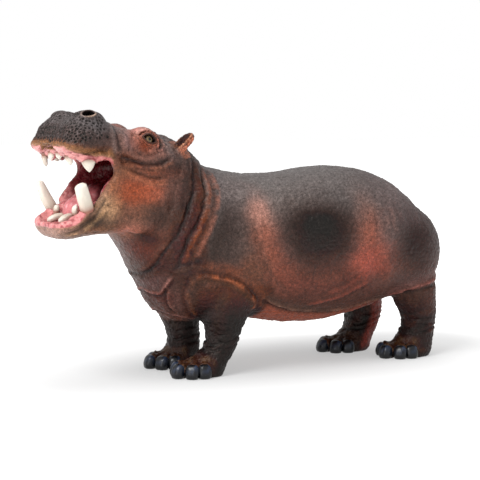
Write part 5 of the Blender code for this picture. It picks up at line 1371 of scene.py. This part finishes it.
muzzle = ramp(-56.6 - hx, 0, 2.6) * ramp(hz, 74.6, 77.4)
lay(muzzle * 0.98, (50, 38, 35))
lay(muzzle * ramp(-67 - hx, 0, 7) * 0.75, (44, 31, 29))
# lighter grey on the top of the muzzle: a painted highlight
spot("H", (-62.0, -9, 86.6), (5.0, 7, 4.0), (71, 70, 73), 0.8)
spot("H", (-66.0, -8, 87.6), (6.5, 9, 3.0), (83, 81, 83), 0.7)
lay(muzzle * ramp(noise(H, 0.62, 98), 0.15, 0.6) * ramp(hz, 80, 84) * 0.12, (122, 118, 120))
lay(muzzle * ramp(noise(H, 0.8, 99), 0.15, 0.5) * 0.5, (40, 34, 34))
spot("H", (-60.0, -12, 80.2), (4.5, 8, 3.0), (72, 49, 44), 0.8)
lip_z = np.interp(-HH[:, 0], [57, 60, 65.5, 70.3, 74.2, 75.8], [76.6, 76.8, 77.0, 77.8, 78.9, 80.3])
above_lip = H[:, 2] + 0.35 * wobble[:, 2] - lip_z
lay(muzzle * ramp(3.9 - above_lip, 0, 2.4) * 0.8, (88, 52, 34))
lay(muzzle * ramp(2.6 - above_lip, 0, 1.5) * 0.75, (117, 80, 52))
lay(muzzle * ramp(0.9 - above_lip, 0, 0.8) * 0.6, (131, 94, 63))
# folds of the face: painted shade in the creases and painted highlights on the ridges
brush("under_eye1", 0, 0.75, (39, 20, 15), 0.8)
brush("under_eye1", 1.9, 1.0, (112, 74, 64), 0.6, 0.1)
brush("under_eye1", -1.7, 0.8, (116, 70, 52), 0.7, 0.1)
brush("under_eye2", 0, 0.9, (66, 38, 28), 0.75)
brush("under_eye2", -2.0, 1.0, (122, 72, 52), 0.6)
brush("under_eye3", 0, 0.5, (60, 36, 28), 0.6)
brush("snout", 0, 0.9, (56, 44, 44), 0.7)
brush("snout", -1.8, 0.9, (104, 88, 84), 0.5)
brush("bridge", 0, 0.6, (74, 54, 52), 0.5)
brush("eye_back", 0, 0.9, (50, 36, 34), 0.6)
brush("eye_front", 0, 0.8, (84, 46, 36), 0.45, 0.2)
brush("eye_front", 1.2, 0.9, (150, 100, 86), 0.35, 0.3)
brush("lid_fold", 0, 0.4, (92, 40, 28), 0.7)
brush("lid_fold", 0.9, 0.6, (186, 138, 126), 0.5)
brush("jaw_a", 0, 0.5, (50, 40, 32), 0.7)
brush("jaw_a", 1.3, 0.7, (150, 116, 84), 0.6, 0.3)
brush("jaw_b", 0, 0.6, (56, 46, 38), 0.6)
brush("chin", 0, 0.6, (66, 48, 38), 0.7)
brush("ear_foot", 0, 0.8, (60, 40, 34), 0.6)
# dark flecks on the crown and brow
fleck = ramp(noise(H * np.array((1, 1, 0.6)), 0.95, 97), 0.15, 0.45)
lay(fleck * np.clip(blob(HH, (-36, -9, 81.5), (6.5, 8, 4.5)) * 1.3, 0, 1) * 0.85, (26, 26, 30))
lay(fleck * np.clip(blob(HH, (-57, -12, 60), (9, 5, 6)) * 0.7, 0, 1) * 0.5, (60, 50, 42))
# ears: the inside is the hollow that faces forward; the hollow is painted dark as painted shade, and the light line
# along its fold and the light edge past it are painted highlights
for s in (1, -1):
    A = np.array(ear_matrix(s).inverted())
    q = B @ A[:3, :3].T + A[:3, 3]
    on = (np.abs(q[:, 0]) < 4) & (np.abs(q[:, 1]) < 4.2) & (q[:, 2] > -4.2) & (q[:, 2] < 6.5)
    e = on * ramp(q[:, 2], -3.6, -1.2)
    lay(e * 0.95, (122, 72, 52))
    lay(e * ramp(q[:, 0], 0.2, 1.0) * 0.5, (112, 72, 60))
    u = q[:, 1] * s
    front = e * ramp(-(form.N @ A[:3, :3].T)[:, 0], -0.1, 0.35)
    lay(front * ramp(-u, 0.3, 1.5) * 0.6, (152, 94, 74))
    hollow = front * ramp(u, 0.05, 0.4) * ramp(2.2 - u, 0, 0.3) * ramp(4.9 - q[:, 2], 0, 0.6) * ramp(q[:, 2], -3.6, -2.4)
    lay(hollow * 0.95, (64, 35, 18))
    lay(hollow * bell(u - 1.2, 0.7) * 0.6, (30, 18, 11))
    lay(front * bell(u + 0.1, 0.24) * ramp(q[:, 2], -2.6, -1.0) * ramp(5.1 - q[:, 2], 0, 0.5) * 0.85, (190, 142, 114))
    lay(e * bell(u - 2.35, 0.22) * 0.6, (140, 92, 80))
    lay(e * ramp(q[:, 2], 3.8, 4.7) * ramp(0.3 - u, 0, 0.8) * 0.85, (44, 34, 34))
# nostrils and eyelids: each nostril has a faint light rim, lighter on its lower part as a painted highlight, and its
# inside is painted near-black as painted shade; the lids' dark rim, wider above, is partly painted shade under the
# upper lid, and what shows inside each eye opening is painted near-black as painted shade
for o in NOSTRILS:
    lay(bell(o.d - 0.30, 0.24) * (0.12 + 0.60 * ramp(-o.y, -0.1, 1.1) * ramp(o.x, -2.4, 0.2)), (164, 138, 118), o.idx)
    lay(ramp(0.14 - o.d, 0, 0.3), (26, 13, 9), o.idx)
for o in LIDS:
    lay(bell(o.d - 0.95, 0.5) * 0.4, (160, 96, 76), o.idx)
    lay(bell(o.d - 0.24, 0.40 + 0.14 * (o.y > 0)) * 0.92, (30, 15, 11), o.idx)
    lay(ramp(0.10 - o.d, 0, 0.2), (18, 10, 8), o.idx)
# mouth
depth_in = ramp(H[:, 0] + 0.25 * (70 - H[:, 2]) * 0.3, -65.0, -57.5)
lip_pink = lining[:, None] * 1.0
m1 = (0.5 + 0.5 * noise(H, 1.7, 101)) * 0.6
gum_c = linear(180, 110, 111)
COAT[:] = COAT * (1 - lip_pink) + gum_c * lip_pink
lay(lining * np.clip(m1, 0, 1), (213, 145, 141))
lay(lining * ramp(noise(H, 1.1, 102), 0.0, 0.6) * 0.8, (132, 54, 60))
# darker deeper into the mouth and darkest towards the throat: painted shade in the mouth's depth
lay(lining * depth_in * 0.95, (98, 27, 35))
lay(lining * ramp(H[:, 0], -58, -52) * 0.8, (50, 13, 17))
lay(lining * depth_in * np.clip(noise(H * np.array((0.5, 1, 0.5)), 1.6, 103), 0, 1) * 0.35, (118, 42, 48))
corner = lining * (np.abs(H[:, 1]) > 10.0) * (H[:, 0] > -67) * bell(polygon(H[:, 0], H[:, 2], SIDE) + 0.7, 0.9) * (H[:, 2] > 60)
lay(np.clip(corner, 0, 1) * 0.75, (186, 110, 106))
edge_line = bell(polygon(H[:, 0], H[:, 2], SIDE) - 0.15, 0.35) * (np.abs(H[:, 1]) > 6) * (H[:, 0] < -56.5) * (lining < 0.9)
lay(np.clip(edge_line, 0, 1) * 0.45, (150, 108, 88))
# painted shade in rings round the teeth's bases, painted highlights on the raised gum and painted shade in its hollows
lay(np.clip(tooth_base_shade, 0, 1) * lining * 0.75, (92, 30, 36))
lay(lining * ramp(soft, 0.08, 0.2) * 0.35 * (1 - depth_in), (226, 172, 166))
lay(upper_gum * ramp(-H[:, 0], 66, 72) * 0.4, (214, 160, 156))
lay(lining * ramp(-soft, 0.04, 0.16) * 0.55, (104, 34, 40))
# pits, then a dark wash in what is hollow and a light dry brush on what is raised, which also serve as painted shade
# and painted highlights
skin_only = np.clip(1 - lining, 0, 1)
lay(ramp(pits, 0.22, 0.5) * 0.97, (8, 6, 6))
# thin glazes over the finished coat, each darkening or warming one part of the figure
for kind, c, r, tone in (
        ("B", (60, -24, 44.5), (9, 14, 9), (0.85, 0.79, 0.81)),       # rump
        ("B", (18.5, -23, 50), (14, 14, 8), (0.82, 0.73, 0.73)),      # flank
        ("B", (64.5, -23, 33.5), (5, 10, 4), (0.76, 0.72, 0.75)),     # below the rump
        ("B", (31.5, -24, 30), (6, 10, 3.5), (0.74, 0.72, 0.72)),     # low flank
        ("B", (22.5, -24, 34), (5, 10, 3), (1.22, 1.20, 1.18)),
        ("B", (35, -18, 22), (12, 12, 2.5), (1.0, 0.74, 0.68)),       # belly
        ("B", (40, -25, 35.5), (6, 10, 4), (0.88, 0.80, 0.80)),       # thigh front
        ("B", (-31, -17.5, 63), (3.2, 8, 6), (0.52, 0.49, 0.52)),     # neck
        ("B", (-33, -18, 48.5), (3, 8, 5), (0.82, 0.64, 0.52)),
        ("B", (-41, -14, 49), (3, 7, 2.4), (0.52, 0.45, 0.42)),       # throat
        ("B", (-42, -7, 39.5), (6, 9, 5), (0.88, 0.72, 0.66)),
        ("B", (-36.5, -14.5, 40), (5, 8, 4), (0.90, 0.80, 0.80)),     # chest
        ("B", (-36, -6, 28), (6, 9, 2.4), (0.92, 0.64, 0.60)),
        ("B", (-27, -19, 40), (3.4, 8, 3.4), (0.48, 0.48, 0.52)),     # shoulder
        ("B", (-17.5, -18, 20), (8, 9, 7), (0.76, 0.70, 0.67)),       # front legs
        ("B", (-17.5, -14, 11.5), (7, 9, 6), (0.74, 0.68, 0.64)),
        ("B", (66, -16.5, 13), (8, 9, 8), (0.86, 0.74, 0.72)),        # hind legs
        ("H", (-61, -12.5, 87), (4, 8, 4), (0.76, 0.70, 0.68)),       # muzzle
        ("H", (-71.5, -12, 85), (6, 9, 4), (0.83, 0.79, 0.79)),
        ("H", (-68, -14.5, 79.6), (4, 6, 1.6), (1.30, 1.32, 1.30)),
        ("H", (-56.5, -13.5, 81.5), (3.4, 8, 3.6), (1.18, 1.14, 1.12)),
        ("H", (-50, -12.7, 82), (2, 6, 2.6), (0.94, 0.80, 0.72)),     # round the eye
        ("H", (-40, -12, 80), (2.4, 7, 3.2), (1.13, 1.18, 1.17)),
        ("H", (-33, -5, 82.5), (5, 7, 3), (0.67, 0.67, 0.69)),        # crown
        ("B", (-27.2, -14.2, 81), (4, 5, 4), (0.80, 0.68, 0.62)),     # ears
        ("H", (-53.5, -12.6, 77), (3, 7, 2.2), (0.82, 0.74, 0.69)),   # cheek
        ("H", (-48, -13, 73.7), (3.4, 7, 1.6), (0.80, 0.68, 0.65)),
        ("H", (-39.5, -14.7, 73.5), (3.4, 7, 3), (0.63, 0.67, 0.71)),
        ("H", (-57.8, -13, 74), (1.6, 5, 2.4), (0.70, 0.56, 0.54)),   # corner of the mouth
        ("H", (-58, -14, 66), (2.6, 6, 4), (1.04, 0.82, 0.83)),
        ("H", (-66, -14, 55.7), (2.8, 6, 2), (0.56, 0.57, 0.62))):    # jaw
    Q = BB if kind == "B" else HH
    w = np.exp(-(((Q - np.array(c, float)) / np.array(r, float)) ** 2).sum(1)) * skin_only
    COAT *= 1 + w[:, None] * (np.array(tone) - 1)
# painted shade in fine and broad hollows, and painted highlights on raised points
COAT *= (1 - skin_only * 0.56 * ramp(fine_hollow, 0.05, 0.9))[:, None] * (1 - 0.30 * ramp(broad_hollow, 0.02, 0.22) * np.maximum(skin_only, 0.6))[:, None]
raised_highlight = ramp(-fine_hollow, 0.15, 1.1) * skin_only
COAT[:] = COAT * (1 + 0.46 * raised_highlight[:, None]) + 0.009 * raised_highlight[:, None]
grain = noise(B, 0.9, 111)
COAT *= (1 + 0.20 * grain * skin_only)[:, None]
grey = (COAT @ np.array((0.30, 0.59, 0.11)))[:, None]
COAT[:] = np.clip(grey + (COAT - grey) * (1 + 0.0 * skin_only)[:, None] - 0.006, 0.0025, 1)
coat_paint(skin.data, COAT)
wet = np.clip(lining, 0, 1)
g = skin.data.attributes.new("wet", 'FLOAT', 'POINT')
g.data.foreach_set("value", wet.astype(np.float32))
print("painted")

# ------------------------------------------------------------------ materials


class Look:
    """A material's nodes, linked as they are made."""

    def __init__(self, name):
        self.m = bpy.data.materials.new(name)
        self.m.use_nodes = True
        self.t = self.m.node_tree
        self.b = self.t.nodes["Principled BSDF"]
        self.pos = self.node("ShaderNodeTexCoord").outputs["Object"]

    def node(self, kind, **props):
        n = self.t.nodes.new(kind)
        for k, v in props.items():
            setattr(n, k, v)
        return n

    def link(self, a, b):
        self.t.links.new(a, b)

    def noise(self, scale, detail=2.0, rough=0.5, stretch=None):
        n = self.node("ShaderNodeTexNoise")
        n.inputs["Scale"].default_value, n.inputs["Detail"].default_value, n.inputs["Roughness"].default_value = scale, detail, rough
        src = self.pos
        if stretch:
            mp = self.node("ShaderNodeMapping")
            mp.inputs["Scale"].default_value = stretch
            self.link(self.pos, mp.inputs["Vector"])
            src = mp.outputs["Vector"]
        self.link(src, n.inputs["Vector"])
        return n.outputs["Fac"]

    def cells(self, scale, feature='DISTANCE_TO_EDGE'):
        n = self.node("ShaderNodeTexVoronoi", feature=feature)
        n.inputs["Scale"].default_value = scale
        self.link(self.pos, n.inputs["Vector"])
        return n.outputs["Distance"]

    def span(self, value, lo, hi, to_lo, to_hi):
        n = self.node("ShaderNodeMapRange")
        for i, v in enumerate((lo, hi, to_lo, to_hi)):
            n.inputs[i + 1].default_value = v
        self.link(value, n.inputs[0])
        return n.outputs[0]

    def math(self, op, a, b):
        n = self.node("ShaderNodeMath", operation=op)
        for i, v in enumerate((a, b)):
            if isinstance(v, (int, float)):
                n.inputs[i].default_value = v
            else:
                self.link(v, n.inputs[i])
        return n.outputs[0]

    def paint(self, name="paint"):
        return self.node("ShaderNodeAttribute", attribute_name=name).outputs["Color"]

    def value(self, name):
        return self.node("ShaderNodeAttribute", attribute_name=name).outputs["Fac"]

    def scale(self, colour, factor):
        n = self.node("ShaderNodeVectorMath", operation='SCALE')
        self.link(colour, n.inputs[0])
        self.link(factor, n.inputs["Scale"])
        return n.outputs[0]

    def bump(self, height, distance, strength, below=None):
        n = self.node("ShaderNodeBump")
        n.inputs["Distance"].default_value, n.inputs["Strength"].default_value = distance, strength
        self.link(height, n.inputs["Height"])
        if below is not None:
            self.link(below, n.inputs["Normal"])
        return n.outputs["Normal"]

    def set(self, **values):
        for k, v in values.items():
            self.b.inputs[k.replace("_", " ")].default_value = v


def hide_look():
    L = Look("painted_vinyl_hide")
    wet = L.value("wet")
    dry = L.math('SUBTRACT', 1.0, wet)
    speck = L.span(L.noise(2100, 2.0, 0.6), 0.32, 0.68, 0.62, 1.38)
    speck2 = L.span(L.noise(950, 3.0, 0.6), 0.34, 0.66, 0.76, 1.24)
    f = L.math('MULTIPLY', speck, speck2)
    f = L.math('ADD', L.math('MULTIPLY', f, dry), wet)
    L.link(L.scale(L.paint(), f), L.b.inputs["Base Color"])
    fine = L.bump(L.cells(1500), 0.00010, 0.8)
    fine = L.bump(L.noise(2600, 3.0, 0.6), 0.00010, 0.8, fine)
    fine = L.bump(L.noise(800, 3.0, 0.55), 0.00034, 0.9, fine)
    fine = L.bump(L.noise(400, 3.0, 0.6), 0.00045, 0.55, fine)
    L.link(fine, L.b.inputs["Normal"])
    rough = L.span(L.noise(700, 3.0, 0.6), 0.3, 0.7, 0.34, 0.56)
    rough = L.math('SUBTRACT', rough, L.math('MULTIPLY', wet, 0.30))
    L.link(rough, L.b.inputs["Roughness"])
    L.set(Specular_IOR_Level=0.26, Specular_Tint=(1.0, 0.87, 0.80, 1.0), Coat_Weight=0.0)
    return L.m


def tooth_look():
    L = Look("painted_tooth")
    f = L.span(L.noise(900, 3.0, 0.6, (1.0, 1.0, 0.35)), 0.3, 0.7, 0.92, 1.05)
    L.link(L.scale(L.paint(), f), L.b.inputs["Base Color"])
    L.link(L.bump(L.noise(1300, 2.0, 0.5, (1.0, 1.0, 0.3)), 0.00006, 0.5), L.b.inputs["Normal"])
    L.link(L.span(L.noise(600), 0.3, 0.7, 0.36, 0.5), L.b.inputs["Roughness"])
    L.set(Specular_IOR_Level=0.4)
    return L.m


def nail_look():
    L = Look("painted_hoof")
    f = L.span(L.noise(1200, 3.0, 0.6, (1.0, 1.0, 0.4)), 0.3, 0.7, 0.75, 1.3)
    L.link(L.scale(L.paint(), f), L.b.inputs["Base Color"])
    b = L.bump(L.noise(1500, 2.0, 0.5, (1.0, 1.0, 0.3)), 0.00008, 0.6)
    L.link(L.bump(L.noise(600, 2.0, 0.5), 0.00015, 0.5, b), L.b.inputs["Normal"])
    L.link(L.span(L.noise(500), 0.3, 0.7, 0.26, 0.42), L.b.inputs["Roughness"])
    L.set(Specular_IOR_Level=0.34, Coat_Weight=0.1, Coat_Roughness=0.2)
    return L.m


def eye_look():
    L = Look("painted_eye")
    f = L.span(L.noise(2500, 2.0, 0.5), 0.3, 0.7, 0.9, 1.1)
    L.link(L.scale(L.paint(), f), L.b.inputs["Base Color"])
    L.set(Roughness=0.3, Specular_IOR_Level=0.25, Coat_Weight=0.3, Coat_Roughness=0.08)
    return L.m


def tongue_look():
    L = Look("painted_tongue")
    f = L.span(L.noise(1100, 3.0, 0.6), 0.3, 0.7, 0.82, 1.15)
    L.link(L.scale(L.paint(), f), L.b.inputs["Base Color"])
    b = L.bump(L.cells(1100), 0.0001, 0.6)
    L.link(L.bump(L.noise(1500, 3.0, 0.6), 0.00008, 0.6, b), L.b.inputs["Normal"])
    L.link(L.span(L.noise(500), 0.3, 0.7, 0.28, 0.42), L.b.inputs["Roughness"])
    L.set(Specular_IOR_Level=0.45, Coat_Weight=0.2, Coat_Roughness=0.15)
    return L.m


def floor_look():
    L = Look("pale_sweep")
    squeeze = L.node("ShaderNodeMapping")
    squeeze.inputs["Scale"].default_value = (10.0, 20.0, 1.0)
    L.link(L.pos, squeeze.inputs["Vector"])
    d = L.node("ShaderNodeVectorMath", operation='LENGTH')
    L.link(squeeze.outputs["Vector"], d.inputs[0])
    # the floor is darker near the figure, a broad painted shadow, and it glows evenly, painted light that lifts the
    # cast shadows
    v = L.math('ADD', L.span(d.outputs["Value"], 0.4, 1.0, 0.29, 0.42), L.span(d.outputs["Value"], 1.0, 1.9, 0.0, 0.55))
    c = L.node("ShaderNodeCombineColor")
    for k in range(3):
        L.link(v, c.inputs[k])
    L.link(c.outputs[0], L.b.inputs["Base Color"])
    L.set(Roughness=0.9, Specular_IOR_Level=0.05, Emission_Color=(1, 1, 1, 1), Emission_Strength=0.42)
    return L.m


def wear(ob, look):
    ob.data.materials.clear()
    ob.data.materials.append(look)


hide, tooth, nail, eye, tongue_paint = hide_look(), tooth_look(), nail_look(), eye_look(), tongue_look()
wear(floor, floor_look())
flesh = [n for n in ("head", "lower_jaw", "neck", "trunk", "tail", "leg_front_left", "leg_front_right", "leg_hind_left", "leg_hind_right", "ear_left", "ear_right") if n in frame["nodes"]]


def finish_piece(ob, look, nodes=()):
    wear(ob, look)
    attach(ob, "root")
    if nodes:
        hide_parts(*nodes)


finish_piece(skin, hide, flesh)
finish_piece(tongue, tongue_paint, ["tongue"])
for name, ob in teeth.items():
    finish_piece(ob, tooth, [name] if name in frame["nodes"] else [])
for ob, node in eyes:
    finish_piece(ob, eye, [node])
for ob, leg, i in nails:
    node = f"nail_{leg}_{i}"
    finish_piece(ob, nail, [node] if node in frame["nodes"] else [])
left = [n for n, o in frame["nodes"].items() if not o.hide_render]
print("not replaced", left)

for ob in list(WORK.objects):
    bpy.data.objects.remove(ob, do_unlink=True)
SC.collection.children.unlink(WORK)
bpy.context.view_layer.update()
pieces = [o for o in bpy.data.objects if o.type == 'MESH' and not o.hide_render and not o.get("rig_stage")]
lo = [min(min((o.matrix_world @ Vector(c))[k] for c in o.bound_box) for o in pieces) for k in range(3)]
hi = [max(max((o.matrix_world @ Vector(c))[k] for c in o.bound_box) for o in pieces) for k in range(3)]
print("box", [[round(v * 1000, 2) for v in r] for r in cad_box], [round(v * 1000, 2) for v in lo], [round(v * 1000, 2) for v in hi])
